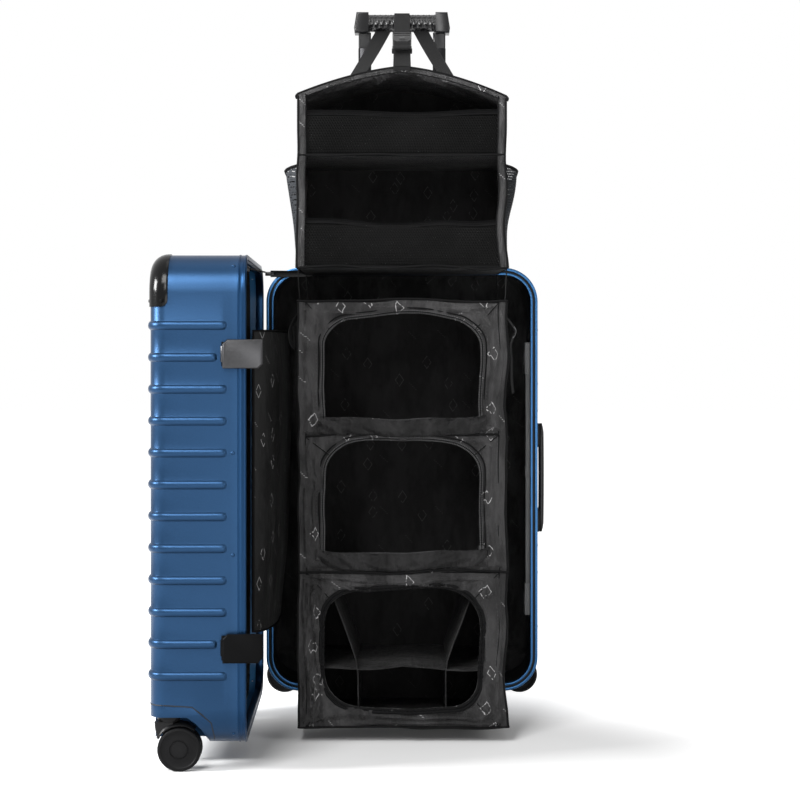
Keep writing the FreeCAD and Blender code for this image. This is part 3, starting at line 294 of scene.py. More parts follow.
def make(name, parts, material, body=None, slot=None, node=None, smooth=40, thick=0.0, offset=0.0):
    """A welded piece of parts, thickened if asked, with its body and replaced node; its slot is not used."""
    verts, faces = [], []
    for part_verts, part_faces in parts:
        faces += [tuple(i + len(verts) for i in face) for face in part_faces]
        verts += part_verts
    mesh = bpy.data.meshes.new(name)
    mesh.from_pydata([Vector(v) / 1000 for v in verts], [], faces)
    bm = bmesh.new()
    bm.from_mesh(mesh)
    bmesh.ops.remove_doubles(bm, verts=bm.verts, dist=0.00002)
    bmesh.ops.dissolve_degenerate(bm, edges=bm.edges, dist=0.00001)
    bmesh.ops.recalc_face_normals(bm, faces=bm.faces)
    bm.to_mesh(mesh)
    bm.free()
    obj = bpy.data.objects.new(name, mesh)
    bpy.context.scene.collection.objects.link(obj)
    mesh.materials.append(MAT[material])
    soften(obj, smooth)
    if thick:
        made = obj.modifiers.new("thick", "SOLIDIFY")
        made.thickness, made.offset = thick / 1000, offset
        soften(bake(obj), 40)
    MADE.append(obj.name)
    return settle_on(obj, body, slot, node)


def settle_on(obj, body, slot=None, node=None):
    """A piece on its body, or hung in the shelf, and in place of a node of the frame; its slot is not used."""
    if body == "shelf":
        hang(obj)
    elif body:
        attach(obj, body)
    if node:
        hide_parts(node)
    return obj


def hang(obj, body="back_case"):
    """A piece of the shelf, put on a body with a mesh of its own."""
    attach(obj, body)
    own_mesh(obj)


def soften(obj, angle):
    """Smooth shading with sharp edges past an angle."""
    obj.data.polygons.foreach_set("use_smooth", [True] * len(obj.data.polygons))
    obj.data.set_sharp_from_angle(angle=radians(angle))


def bake(obj):
    """The object's modifiers, applied to its mesh."""
    bpy.context.view_layer.update()
    final = obj.evaluated_get(bpy.context.evaluated_depsgraph_get())
    mesh = bpy.data.meshes.new_from_object(final)
    obj.modifiers.clear()
    obj.data = mesh
    return obj


def bevel(obj, width, angle):
    """A modifier that rounds the edges past an angle."""
    edge = obj.modifiers.new("edge", "BEVEL")
    edge.width, edge.segments, edge.limit_method = width / 1000, 2, "ANGLE"
    edge.angle_limit = radians(angle)


def cut(obj, parts, operation):
    """Takes closed parts out of a piece, or keeps only what lies in them."""
    for part in parts:
        tool = make("cutter", [part], "black")
        modifier = obj.modifiers.new("cut", "BOOLEAN")
        modifier.object, modifier.operation, modifier.solver = tool, operation, "EXACT"
        bake(obj)
        bpy.data.objects.remove(tool)


def sheet_mesh(rows):
    """A part through rows of as many points each."""
    wide = len(rows[0])
    return [p for row in rows for p in row], [
        (r * wide + c, r * wide + c + 1, (r + 1) * wide + c + 1, (r + 1) * wide + c)
        for r in range(len(rows) - 1) for c in range(wide - 1)]


def loops_mesh(loops, closed=False, caps=True):
    """A skin over closed loops of as many points each."""
    count, verts = len(loops[0]), [p for loop in loops for p in loop]
    faces, last = [], len(loops) if closed else len(loops) - 1
    for k in range(last):
        a, b = k * count, (k + 1) % len(loops) * count
        faces += [(a + i, a + (i + 1) % count, b + (i + 1) % count, b + i) for i in range(count)]
    if caps and not closed:
        faces += [tuple(range(count))[::-1], tuple(range(len(verts) - count, len(verts)))]
    return verts, faces


def circle(radius, count=10):
    return [(radius * cos(2 * pi * k / count), radius * sin(2 * pi * k / count)) for k in range(count)]


def flat_section(width, thick):
    """The section of a woven strap: flat, with pointed sides."""
    w, t = width / 2, thick / 2
    return [(-w, 0), (-w + t, -t), (-w * 0.4, -t), (w * 0.4, -t), (w - t, -t), (w, 0), (w - t, t), (w * 0.4, t),
            (-w * 0.4, t), (-w + t, t)]


def sweep_mesh(path, section, across=(1, 0, 0), closed=False):
    """A section carried along a path. across is the way its first axis points, for all or for each point."""
    path, loops = [Vector(p) for p in path], []
    for k, p in enumerate(path):
        before = path[k - 1] if closed or k else p
        after = path[(k + 1) % len(path)] if closed or k + 1 < len(path) else p
        ahead = (after - before).normalized()
        side = Vector(across[k] if isinstance(across, list) else across)
        side = (side - ahead * side.dot(ahead)).normalized()
        up = ahead.cross(side)
        loops.append([p + side * u + up * v for u, v in (section(k) if callable(section) else section)])
    return loops_mesh(loops, closed)


def lathe_mesh(outline, centre, axis, count):
    """(radius, along) points turned about an axis through a centre."""
    centre, axis = Vector(centre), Vector(axis).normalized()
    side = axis.orthogonal().normalized()
    other = axis.cross(side)
    return loops_mesh([[centre + axis * along + (side * cos(a) + other * sin(a)) * radius
                        for a in (2 * pi * k / count for k in range(count))] for radius, along in outline])


def block_mesh(lo, hi, bevel=0.0, segments=2):
    """A box with rounded edges."""
    bm = bmesh.new()
    bmesh.ops.create_cube(bm, size=1)
    lo, hi = Vector(lo), Vector(hi)
    for v in bm.verts:
        v.co = Vector([(lo[i] + hi[i]) / 2 + v.co[i] * (hi[i] - lo[i]) for i in range(3)])
    if bevel:
        bmesh.ops.bevel(bm, geom=list(bm.edges), offset=bevel, segments=segments, profile=0.5, affect="EDGES")
    bm.verts.ensure_lookup_table()
    verts = [v.co.copy() for v in bm.verts]
    faces = [tuple(v.index for v in f.verts) for f in bm.faces]
    bm.free()
    return verts, faces


def smooth_path(points, steps):
    """A rounded line through points."""
    points = [Vector(p) for p in points]
    full = [points[0] * 2 - points[1]] + points + [points[-1] * 2 - points[-2]]
    out = []
    for k in range(1, len(full) - 2):
        a, b, c, d = full[k - 1:k + 3]
        for t in (j / steps for j in range(steps)):
            out.append(0.5 * ((2 * b) + (c - a) * t + (2 * a - 5 * b + 4 * c - d) * t * t
                              + (3 * b - a - 3 * c + d) * t ** 3))
    return out + [points[-1]]


def rounded_outline(x0, x1, z0, z1, radii, per_side=(14, 10), arc=6):
    """A loop round a rectangle from its lower left corner's end, with corner radii (ll, lr, ur, ul)."""
    ll, lr, ur, ul = radii
    sides = (((x0 + ll, z0), (x1 - lr, z0)), ((x1, z0 + lr), (x1, z1 - ur)),
             ((x1 - ur, z1), (x0 + ul, z1)), ((x0, z1 - ul), (x0, z0 + ll)))
    bends = ((x1 - lr, z0 + lr, lr), (x1 - ur, z1 - ur, ur), (x0 + ul, z1 - ul, ul), (x0 + ll, z0 + ll, ll))
    out = []
    for i, ((a, b), (x, z, radius)) in enumerate(zip(sides, bends)):
        count = per_side[i % 2]
        out += [(a[0] + (b[0] - a[0]) * k / count, a[1] + (b[1] - a[1]) * k / count) for k in range(count)]
        turns = [(i - 1) * pi / 2 + pi / 2 * k / arc for k in range(arc)]
        out += [(x + radius * cos(t), z + radius * sin(t)) for t in turns]
    return out


def walk(path, spacing, first):
    """Places at even steps along a line, each with the way ahead."""
    path, walked, target = [Vector(p) for p in path], 0.0, first
    for a, b in zip(path, path[1:]):
        run = (b - a).length
        while run and target <= walked + run:
            yield a + (b - a) * ((target - walked) / run), (b - a).normalized()
            target += spacing
        walked += run


def stitches(path, spacing, length, radius):
    """Parts for short raised threads along a line."""
    parts = []
    for middle, ahead in walk(path, spacing, spacing / 2):
        side = ahead.orthogonal().normalized()
        other = ahead.cross(side)
        ring = [middle + side * radius, middle + other * radius, middle - side * radius, middle - other * radius]
        ends = [middle - ahead * length / 2, middle + ahead * length / 2]
        faces = [(i, (i + 1) % 4, 5) for i in range(4)] + [((i + 1) % 4, i, 4) for i in range(4)]
        parts.append((ring + ends, faces))
    return parts


# --- the shells
def rib_height(side, x, depth, z):
    """How far the ribs stand out at a place on a half's outside."""
    best = 0.0
    for k, middle in enumerate(RIBS):
        start = 36.5 if k in (1, 10) else 24
        if side == "back" and x > 0 and abs(middle - MIDDLE_Z) < 92:
            start = 66
        away = hypot(z - middle, max(0.0, start + 5 - depth)) / 5.8
        if away < 1:
            best = max(best, 3.2 * (1 - away ** 2.6) ** 0.9)
    return best


def case_surface(side, inset, start, depth, edge, ribbed=False, wrinkle=0.0):
    """Parts of a half's skin: its walls with the big face, and its top and bottom."""
    w, lo, hi, r, across = WIDTH / 2 - inset, FLOOR + inset, TOP - inset, CORNER - inset, 10
    zs = [lo + r + (hi - lo - 2 * r) * k / 30 for k in range(31)]
    flats = span(start, depth - edge, 8)
    if ribbed:
        zs = sorted([lo + r, hi - r] + [middle + step for middle in RIBS for step in RIB_STEPS]
                    + [(a + b) / 2 for a, b in zip(RIBS, RIBS[1:])])
        flats = sorted({round(v, 3) for v in flats + RIB_ENDS if start <= v <= depth - edge})
    quarter = span(0, pi / 2, 8)

    def turned(a, z):
        return (w - r + r * cos(a), z + r * sin(a), cos(a), sin(a))

    def lay(x, d, z, normal):
        push = rib_height(side, x, d, z) if ribbed and abs(z - MIDDLE_Z) < 240 else 0.0
        if wrinkle:
            push += wrinkle * ripple(x * 0.02, d * 0.03, z * 0.012)
        nx, nd, nz = normal
        return in_half(side, x + nx * push, d + nd * push, z + nz * push)

    rows = []
    for px, pz, nx, nz in ([turned(a - pi / 2, lo + r) for a in quarter[:-1]] + [(w, z, 1.0, 0.0) for z in zs]
                           + [turned(a, hi - r) for a in quarter[1:]]):
        right = [(px, d, pz, (nx, 0, nz)) for d in flats]
        right += [(px - nx * edge * (1 - cos(a)), depth - edge + edge * sin(a), pz - nz * edge * (1 - cos(a)),
                   (nx * cos(a), sin(a), nz * cos(a))) for a in quarter[1:]]
        fx, _, fz, _ = right[-1]
        face = [(fx * (1 - 2 * k / across), depth, fz, (0, 1, 0)) for k in range(1, across)]
        left = [(-x, d, z, (-n[0], n[1], n[2])) for x, d, z, n in right[::-1]]
        rows.append([lay(*p) for p in right + face + left])
    parts = [sheet_mesh(rows)]
    for z_edge, up in ((hi, 1), (lo, -1)):
        sections = [(d, z_edge, (0, 0, up)) for d in flats]
        sections += [(depth - edge + edge * sin(a), z_edge - up * edge * (1 - cos(a)), (0, sin(a), up * cos(a)))
                     for a in quarter[1:]]
        parts.append(sheet_mesh([[lay((w - r) * (1 - 2 * k / across), d, z, n) for k in range(across + 1)]
                                 for d, z, n in sections]))
    return parts


def housing_outline(grow):
    """A wheel housing's outline, grown: (distance in from the outer face, height) points."""
    reach, rise = 82 + grow, 54.5 + grow
    return [(-15, -15), (reach, -15), (reach, 0.24 * rise), (reach - 2.5, 0.57 * rise), (reach - 27, 0.96 * rise),
            (-15, rise)]


def housing_prisms(side, grow):
    """The two prisms in a half's bottom corners that leave room for its wheel housings."""
    outline = housing_outline(grow)
    inner, outer = WIDTH / 2 - outline[1][0], WIDTH / 2 + 15.0
    return [loops_mesh([[in_half(side, x, DEPTH[side] - inward, FLOOR + up) for inward, up in outline]
                        for x in xs]) for xs in ((-outer, -inner), (inner, outer))]


def housing_cover(side, sx):
    """Parts of the lining's cloth over a wheel housing, as the case's inside shows it."""
    outline, wall, bend = housing_outline(2.6), 4.4, CORNER - 5
    profile = [(outline[1][0], wall)] + outline[2:5] + [(DEPTH[side] * 0.04 + wall, outline[5][1])]
    xs = [sx * (WIDTH / 2 - wall), sx * (WIDTH / 2 - outline[1][0])]
    steps = [(a + (c - a) * k / 6, b + (d - b) * k / 6) for (a, b), (c, d) in zip(profile, profile[1:])
             for k in range(6)] + [profile[-1]]

    def kept(x, a, b):
        dx, dz = abs(x) - (WIDTH / 2 - CORNER), CORNER - b
        far = hypot(dx, dz)
        if dx > 0 and dz > 0 and far > bend:
            x, b = sx * (WIDTH / 2 - CORNER + dx * bend / far), CORNER - dz * bend / far
        return in_half(side, x, DEPTH[side] - a, FLOOR + b)

    rows = [[kept(x, a + 0.8 * ripple(x, a, b, 0.05), b) for a, b in steps]
            for x in span(*xs, 8)]
    return [sheet_mesh(rows), sheet_mesh([rows[-1], [kept(xs[1], a, 5.0) for a, b in steps]])]


def housing_seam(side, sx):
    """A shadow line along the join of a wheel housing, round the case's corner."""
    reach, rise, depth = 82.2, 54.7, DEPTH[side]
    line = [(WIDTH / 2 - reach, depth, 26), (WIDTH / 2 - reach, depth, rise - 4),
            (WIDTH / 2 - reach + 4, depth, rise), (WIDTH / 2 - CORNER, depth, rise)]
    for t in (pi / 2 * (1 - k / 6) for k in range(7)):
        line.append((WIDTH / 2 - EDGE + EDGE * cos(t), depth - EDGE + EDGE * sin(t), rise))
    for back, share in ((27, 0.96), (14, 0.78), (2.5, 0.57), (1.2, 0.4), (0, 0.24), (0, 0.13)):
        a, b = reach - back, share * rise
        wall = WIDTH / 2 - CORNER + sqrt(CORNER ** 2 - (CORNER - b) ** 2) if b < CORNER else WIDTH / 2
        line.append((wall, depth - a, b))
    return sweep_mesh([in_half(side, sx * x, d, FLOOR + b) for x, d, b in line], circle(0.75, 6))


def corner_masks(side, sx):
    """Three prisms that keep a top outer corner of a half, each with a rounded inner corner in its plane."""
    near, far, radius = (WIDTH / 2 - 68, DEPTH[side] - 24, TOP - 68), (260, DEPTH[side] + 30, 720), 9
    start = (40, near[1] - 60, 560)
    arc = [(radius * cos(a), radius * sin(a)) for a in (radians(180 + 9 * k) for k in range(11))]
    masks = []
    for u, v, through in ((0, 2, 1), (1, 2, 0), (0, 1, 2)):
        outline = [(near[u] + radius + p, near[v] + radius + q) for p, q in arc]
        outline += [(far[u], near[v]), (far[u], far[v]), (near[u], far[v])]
        spots = [[{u: p, v: q, through: end} for p, q in outline] for end in (start[through], far[through])]
        masks.append(loops_mesh([[in_half(side, sx * at[0], at[1], at[2]) for at in loop] for loop in spots]))
    return masks


for side, body in BODY.items():
    skin = make(f"{side}_ribbed_shell", case_surface(side, 0, 10, DEPTH[side], EDGE, ribbed=True), "blue",
                body, "blue_metal", f"{side}_shell", thick=1.6, offset=-1)
    lip, inner = LINED[side]
    cloth = make(f"{side}_lining_cloth", case_surface(side, 4.1, lip, inner - 0.3, 16, wrinkle=2.2), "lining",
                 body, "lining_fabric", f"{side}_lining", thick=1.1, offset=1)
    for obj, grow in ((skin, 0.35), (cloth, 1.2)):
        cut(obj, housing_prisms(side, grow), "DIFFERENCE")
        soften(obj, 32)
for side, body in BODY.items():
    make(f"{side}_housing_covers", [part for sx in (-1, 1) for part in housing_cover(side, sx)], "lining",
         body, "lining_fabric", thick=1.0)
for side, body in BODY.items():
    make(f"{side}_housing_seams", [housing_seam(side, sx) for sx in (-1, 1)], "seal", body, "wheel_rubber")
for side, body in BODY.items():
    for sx, label, replaced in ((-1, "hinge", f"{side}_corner_guards"), (1, "latch", None)):
        guard = make(f"{side}_guard_{label}", case_surface(side, -1.6, 12, DEPTH[side] + 1.6, 22.6), "guard",
                     body, "black_plastic", replaced, thick=1.5, offset=-1)
        cut(guard, corner_masks(side, sx), "INTERSECT")
        bevel(guard, 0.7, 50)
        soften(bake(guard), 30)


# --- the rigid frame's own finishes: material, then each node with the width of its rounded edges
DRESSES = {
    "rim": {"back_rim_frame": 0.4},
    "door_rim": {"door_rim_frame": 0.4},
    "seal": {"rim_seal": 0.5},
    "blue": {"back_wheel_housings": 1.2, "door_wheel_housings": 1.2},
    "black": {"trolley_foot": 1, "trolley_bezel": 0.4, "side_carry_mounts": 1.2, "top_carry_mounts": 1.2},
    "satin": {"grip_end_caps": 0.8, "release_button": 0.8, "tier_3_zip_slider": 0.5, "tier_4_zip_slider": 0.5},
    "tube": {"trolley_outer_tubes": 0.3, "trolley_mid_tubes": 0.6, "trolley_inner_tubes": 0.6},
    "latch": {"hinge_back_leaves": 0.4, "hinge_door_leaves": 0.4, "latch_bases": 0.5, "lower_latch_lever": 0.6},
    "gun": {"upper_latch_lever": 0.6},
}
for material, widths in DRESSES.items():
    for name, width in widths.items():
        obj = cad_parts[name]
        obj.data.materials.clear()
        obj.data.materials.append(MAT[material])
        obj.modifiers.new("weld", "WELD").merge_threshold = 0.00002
        bevel(obj, width, 30)
        obj.data.polygons.foreach_set("use_smooth", [True] * len(obj.data.polygons))
        obj.modifiers.new("split", "EDGE_SPLIT").split_angle = radians(35)

make("lock_rail_channel", [block_mesh((186.2, 13.2, 186), (198.4, 28.6, 515), 0.8),
                           block_mesh((185.6, 12.8, 353), (198.4, 28.8, 369), 0.8)],
     "grey", "back_case", "black_plastic", "lock_bar")
keepers = []
for low, high in ((508, 556), (145, 193)):
    keepers += [block_mesh((184.8, 11.4, low), (198.2, 32.6, high), 1.4),
                block_mesh((184.2, 15, low + 14), (185.6, 29, high - 14), 0.5)]
make("lock_keeper_mouldings", keepers, "grey", "back_case", "black_plastic", "lock_keepers")

# --- rivets through the rims and screws on the guards: radius, rise and material of each kind's head
KINDS = {"rivet": (2.6, 1.2, "blue"), "screw": (2.8, 1.6, "latch"), "inner": (2.0, 1.0, "steel")}
heads = {(body, kind): [] for body in BODY.values() for kind in KINDS}


def rivet(side, x, depth, z, normal, kind):
    radius, rise, _ = KINDS[kind]
    nx, nd, nz = normal
    centre = Vector(in_half(side, x, depth, z))
    axis = Vector(in_half(side, x + nx, depth + nd, z + nz)) - centre
    outline = [(0.01, -0.6), (radius, -0.6), (radius, 0.0), (radius * 0.86, rise * 0.55), (radius * 0.5, rise * 0.93),
               (0.01, rise)]
    heads[BODY[side], kind].append(lathe_mesh(outline, centre, axis, 14))


ENDS, LEAN, INSIDE = ((TOP - CORNER, 1), (FLOOR + CORNER, -1)), radians(44), CORNER - 2.5
spots = [(WIDTH / 2 - CORNER, z, 1, 0) for z in (281.2, 411.7)]
spots += [(WIDTH / 2 - CORNER, z, cos(LEAN), up * sin(LEAN)) for z, up in ENDS]
spots += [(x, z, 0, up) for x in (27, 117) for z, up in ENDS]
for side in ("door", "back"):
    for sx in (1, -1):
        for x, z, c, s in spots:
            rivet(side, sx * (x + CORNER * c), 15.5, z + CORNER * s, (sx * c, 0, s), "rivet")
            rivet(side, sx * (x + INSIDE * c), 15.0, z + INSIDE * s, (-sx * c, 0, -s), "inner")
        for x, depth, z, normal in ((1.5, -17.0, 606.5, (sx, 0, 0)), (-60, 1.5, 643, (0, 1, 0)),
                                    (-25, 1.5, 606.5, (0, 1, 0))):
            rivet(side, sx * (WIDTH / 2 + x), DEPTH[side] + depth, z, normal, "screw")
# the door rim's inner flange, in the lighter flange blue: painted light on its shaded inside
rings = []
for gap, depth in ((2.9, 8.6), (3.3, 8.6), (3.3, 19.2), (2.9, 19.2)):
    w = WIDTH / 2 - gap
    outline = rounded_outline(-w, w, FLOOR + gap, TOP - gap, [CORNER - gap] * 4, arc=10)
    rings.append([in_half("door", x, depth, z) for x, z in outline])
make("door_rim_flange", [loops_mesh(rings, closed=True)], "flange", "door", "latch_metal")
for (body, kind), parts in heads.items():
    make(f"{body}_{kind}_heads", parts, KINDS[kind][2], body, "latch_metal", smooth=50)


# --- casters
def moved(matrix, parts):
    return [([matrix @ Vector(v) for v in verts], faces) for verts, faces in parts]


AXLE, STEM = (14, 0, 28.5), (0, 0, 60)
TYRE = [(9.2, -4.6), (26.6, -4.6), (28.0, -5.6), (28.45, -7.6), (28.45, -10.6), (28.1, -12.2), (27.2, -13.3),
        (25.6, -13.95), (24.2, -14.0), (23.6, -13.4), (23.0, -13.0), (16.5, -13.0), (12.6, -13.2), (12.2, -12.2),
        (10.8, -12.2), (10.4, -13.2), (0.01, -13.4)]
PLATE = [(0.01, 72.2), (15.5, 72.2), (16.0, 71.4), (15.6, 68.5), (14.2, 65.5), (12.6, 63.2), (0.01, 62.5)]
WEB = [(-13, 63), (15, 63), (20, 34), (18, 24), (14, 21.5), (9, 24), (-11, 52)]
CHEEK = [(-18, 64), (-17.5, 57), (-15.5, 48), (-13.8, 42), (-12.6, 42.5), (-8.5, 48.6), (-2, 55.2), (6, 58.6),
         (6, 64)]
wheels = [lathe_mesh([(r, a * sign) for r, a in TYRE], AXLE, (0, 1, 0), 56) for sign in (1, -1)]
wheels.append(lathe_mesh([(3.9, -5), (3.9, 5)], AXLE, (0, 1, 0), 20))
hood = []
for k in range(19):
    a = radians(152 - 5.6 * k)
    half, near, far = 13.2 - 2.6 * (k / 18) ** 2, 30.3, 33.4 + 1.6 * sin(pi * k / 18)
    ring = [(near, -half), (near, half), (near + 1.2, half + 0.8), (far - 1.2, half - 0.4), (far, half - 2.4),
            (far + 0.3, 0), (far, -half + 2.4), (far - 1.2, -half + 0.4), (near + 1.2, -half - 0.8)]
    hood.append([Vector((AXLE[0] + r * cos(a), w, AXLE[2] + r * sin(a))) for r, w in ring])
fork = [lathe_mesh([(r, z - STEM[2]) for r, z in PLATE], STEM, (0, 0, 1), 40),
        lathe_mesh([(0.01, 11.5), (4.9, 11.5), (4.9, 24.0), (4.2, 24.6), (0.01, 24.6)], STEM, (0, 0, 1), 20),
        loops_mesh(hood), loops_mesh([[Vector((x, w, z)) for x, z in WEB] for w in (-3.8, 3.8)]),
        loops_mesh([[Vector((x * k, w, z)) for x, z in CHEEK]
                    for w, k in ((-12, 0.94), (-10.5, 1), (10.5, 1), (12, 0.94))])]
for name, side, sx, inward, turn in (("back_left", "back", -1, 30, 180), ("back_right", "back", 1, 30, 0),
                                     ("door_latch", "door", 1, 23, 1), ("door_hinge", "door", -1, 23, 1)):
    x, y, _ = in_half(side, sx * (WIDTH / 2 - 30), DEPTH[side] - inward, 0)
    m = Matrix.Translation((x, y, 0)) @ Matrix.Rotation(radians(turn), 4, "Z")
    make(f"{name}_twin_wheels", moved(m, wheels), "rubber", f"{name}_caster_wheels", "wheel_rubber",
         f"{name}_caster_wheels", smooth=35)
    make(f"{name}_fork_and_hood", moved(m, fork), "black", f"{name}_caster_fork", "black_plastic",
         f"{name}_caster_fork", smooth=35)


# --- carry handles
def carry_grip(name, centre, along, out, body, replaced):
    centre, along, out = Vector(centre), Vector(along), Vector(out)
    path, sections = [], []
    for k in range(25):
        t = -1 + k / 12
        path.append(centre + along * (t * 82.5) + out * (3.1 - 0.7 * t * t))
        shrink = 1 - 0.55 * max(0.0, abs(t) - 0.86) / 0.14
        ridge = 0.35 * (k % 2) if abs(t) < 0.55 else 0
        w, h = (9.6 - ridge) * (1 - 0.12 * cos(pi * t) * (abs(t) < 0.5)) * shrink, 4.2 * shrink
        sections.append([(w * copysign(abs(cos(a)) ** 0.6, cos(a)), h * copysign(abs(sin(a)) ** 0.6, sin(a)))
                         for a in (2 * pi * j / 20 for j in range(20))])
    parts = [sweep_mesh(path, lambda k: sections[k], along.cross(out))]
    parts += [lathe_mesh([(3.9, -8), (3.9, 5)], centre + along * (s * 64.5), out, 16) for s in (-1, 1)]
    make(name, parts, "satin", body, "black_plastic", replaced)


carry_grip("side_carry_bar", (WIDTH / 2 + 6.2, 45, MIDDLE_Z), (0, 0, 1), (1, 0, 0), "side_grip", "side_carry_grip")
carry_grip("top_carry_bar", (0, 60, TOP + 6.2), (1, 0, 0), (0, 0, 1), "top_grip", "top_carry_grip")

# --- the pull grip, with rows of dimples
DIMPLE_ROWS, ROW_PITCH, DIMPLE_PITCH, DIMPLE_RADIUS = 12, 7.3, 8.6, 4.7
loops = []
for x in range(-53, 54):
    loop = []
    for a in (2 * pi * j / 96 for j in range(96)):
        row, best = a / (2 * pi) * DIMPLE_ROWS, 9.0
        for c in (int(row), int(row) + 1):
            near = (x / DIMPLE_PITCH - 0.5 * (c % 2) + 0.5) % 1.0 - 0.5
            best = min(best, hypot(near * DIMPLE_PITCH, (row - c) * ROW_PITCH))
        r = 13.9 - 1.7 * (max(0.0, 1 - (best / DIMPLE_RADIUS) ** 2) if abs(x) < 51 else 0)
        loop.append(GRIP + Vector((x, r * cos(a), r * sin(a))))
    loops.append(loop)
make("grip_dimpled_bar", [loops_mesh(loops)], "grip", "trolley_upper", "black_plastic", "grip_bar", smooth=24)

# --- webbing
WRAP = 15.4
SLOPE = atan2(GRIP.z + WRAP - ROOF_TOP, GRIP.y - FRONT)
FOOT = Vector((0, FRONT + 3, ROOF_TOP + 4.2))


def on_grip(angle):
    return Vector((0, GRIP.y + WRAP * cos(angle), GRIP.z + WRAP * sin(angle)))


TOP_OF_RUN = on_grip(pi / 2 + SLOPE)
RUN = TOP_OF_RUN - FOOT
NORMAL = Vector((1, 0, 0)).cross(RUN.normalized())


def ease(line, sag):
    """Points along a line with a shallow wave off it."""
    return [p + NORMAL * (sag * sin(pi * k / (len(line) - 1))) for k, p in enumerate(line)]


BUCKLE_AT = 0.47
STEEP = SLOPE + radians(9)
LIES = Vector((0, cos(STEEP), sin(STEEP)))
FACES = Vector((1, 0, 0)).cross(LIES)
MIDDLE = FOOT + RUN * BUCKLE_AT + NORMAL * 0.6 + Vector((0, 0, -3))
STRAP = flat_section(24.6, 1.5)
wrap = [on_grip(pi / 2 + SLOPE - radians(a)) for a in range(0, 300, 15)]
make("strap_loop_on_grip", [sweep_mesh(wrap, STRAP)], "webbing", "trolley_upper", "webbing", "hanger_strap")
upper_line = ease([(MIDDLE + LIES * 24).lerp(TOP_OF_RUN, t) for t in span(0, 1, 12)], -0.6)
upper = make("strap_above_buckle", [sweep_mesh(upper_line, STRAP)], "webbing", slot="webbing")
lower_line = ease([FOOT.lerp(MIDDLE - LIES * 32, t) for t in span(0, 1, 10)], -0.8)
tail = [FOOT + RUN * (0.29 + 0.12 * k / 8) + NORMAL * (1.8 + 0.8 * sin(k)) for k in range(9)]
tab = [FOOT + Vector((0, 4, 1.6)), FOOT + Vector((0, -2.5, 0.6)), Vector((0, FRONT - 2.6, ROOF_TOP + 1.6)),
       Vector((0, FRONT - 2.9, ROOF_TOP - 1.6))]
lower = make("strap_below_buckle", [sweep_mesh(lower_line, STRAP), sweep_mesh(tail, flat_section(24.2, 1.3)),
                                    sweep_mesh(smooth_path(tab, 4), flat_section(24.6, 1.4))],
             "webbing", slot="webbing")
for obj in (upper, lower):
    hang(obj, "trolley_upper")

# the side-release buckle, drawn lying along Y and then laid on the strap
laid = Matrix.Translation(MIDDLE) @ Matrix(((1, 0, 0, 0), (0, LIES.y, FACES.y, 0), (0, LIES.z, FACES.z, 0),
                                            (0, 0, 0, 1)))
outline = [(13.4, 20.5), (13.9, 8), (13.9, -3), (12.6, -6.5), (9.6, -9), (9.4, -13), (12.4, -16.5), (13.6, -19.5),
           (12.2, -23), (12.2, -26)]
outline += [(-x, y) for x, y in reversed(outline)]
parts = [loops_mesh([[Vector((x * k, y * k, w)) for x, y in outline]
                     for w, k in ((-4.4, 0.93), (-3.4, 1), (3.4, 1), (4.8, 0.92))])]
for x, y0, y1, z0, z1, edge in ((14.2, 26.4, 30.2, -4.0, 4.0, 1.2), (13.0, 20, 22.2, -2.2, 4.4, 0.8),
                                (14.9, -39.4, -35.4, -4.2, 4.2, 1.3), (13.2, -29.6, -26, -2.2, 4.6, 0.9),
                                (12.4, 14.2, 16, 4.0, 5.4, 0.5), (4.2, -4, 8, 4.2, 5.4, 0.6)):
    parts.append(block_mesh((-x, y0, z0), (x, y1, z1), edge))
for s in (-1, 1):
    for y0, y1 in ((19, 29), (-38, -24)):
        parts.append(block_mesh((s * 13.0 - 1.2, y0, -3.6), (s * 13.0 + 1.2, y1, 3.6), 0.8))
    prong = smooth_path([(s * 10.6, -4, 0), (s * 11.6, -8, 0), (s * 11.2, -12.5, 0), (s * 10.4, -18, 0)], 5)
    parts.append(sweep_mesh(prong, [(u * 1.4, v * 3.2) for u, v in circle(1, 10)]))
make("strap_buckle", moved(laid, parts), "satin", "buckle", "black_plastic", "hanger_buckle", smooth=35)


def roof_z(x):
    """The roof's line from side to side: nearly straight slopes that meet in a soft ridge, low on the right."""
    share = abs(x) / 146
    drop = 41.5 * (0.5 * share ** 2 + 0.5 * share ** 1.2)
    return ROOF_TOP + 3.2 - drop + (3.5 * share ** 2 if x < 0 else 0)


# two side straps from under the grip to the roof's front corners
parts = []
for s in (-1, 1):
    tilt = atan2(roof_z(s * 52) - roof_z(s * 72), 20)
    start, end = Vector((s * 30, 161, 1050.0)), Vector((s * 62, -203, roof_z(s * 62) + 1.2))
    path, across = [], []
    for t in span(0, 1, 16):
        path.append(start.lerp(end, t) + Vector((0, 0, -1.5 * sin(pi * t))))
        across.append(Vector((cos(tilt * t), 0, -s * sin(tilt * t))))
    parts.append(sweep_mesh(path, STRAP, across))
sides = make("side_straps", parts, "webbing", slot="webbing", node="hanger_side_straps")
hang(sides, "trolley_upper")

# --- the hanging shelf: its roof
rows = []
for j in range(41):
    y = BACK - 0.3 - 206.4 * j / 40
    row = []
    for x in span(-144.6, 144.6, 64):
        dip = 1.2 * sin(pi * j / 40) * (1 - (x / 146) ** 2) + 0.5 * ripple(x, y, 0, 0.03)
        turn = atan2(x, y - FRONT + 30)
        pleat = 9.0 * max(0.0, sin(turn * 13 + 2 * ripple(turn * 3, 1, 0))) ** 2
        pleat *= exp(-((y - FRONT) / 130) ** 2) * (1 - exp(-(x / 16) ** 2)) * exp(-(x / 115) ** 2)
        row.append((x, y, roof_z(x) - 0.5 - abs(dip) - pleat))
    rows.append(row)
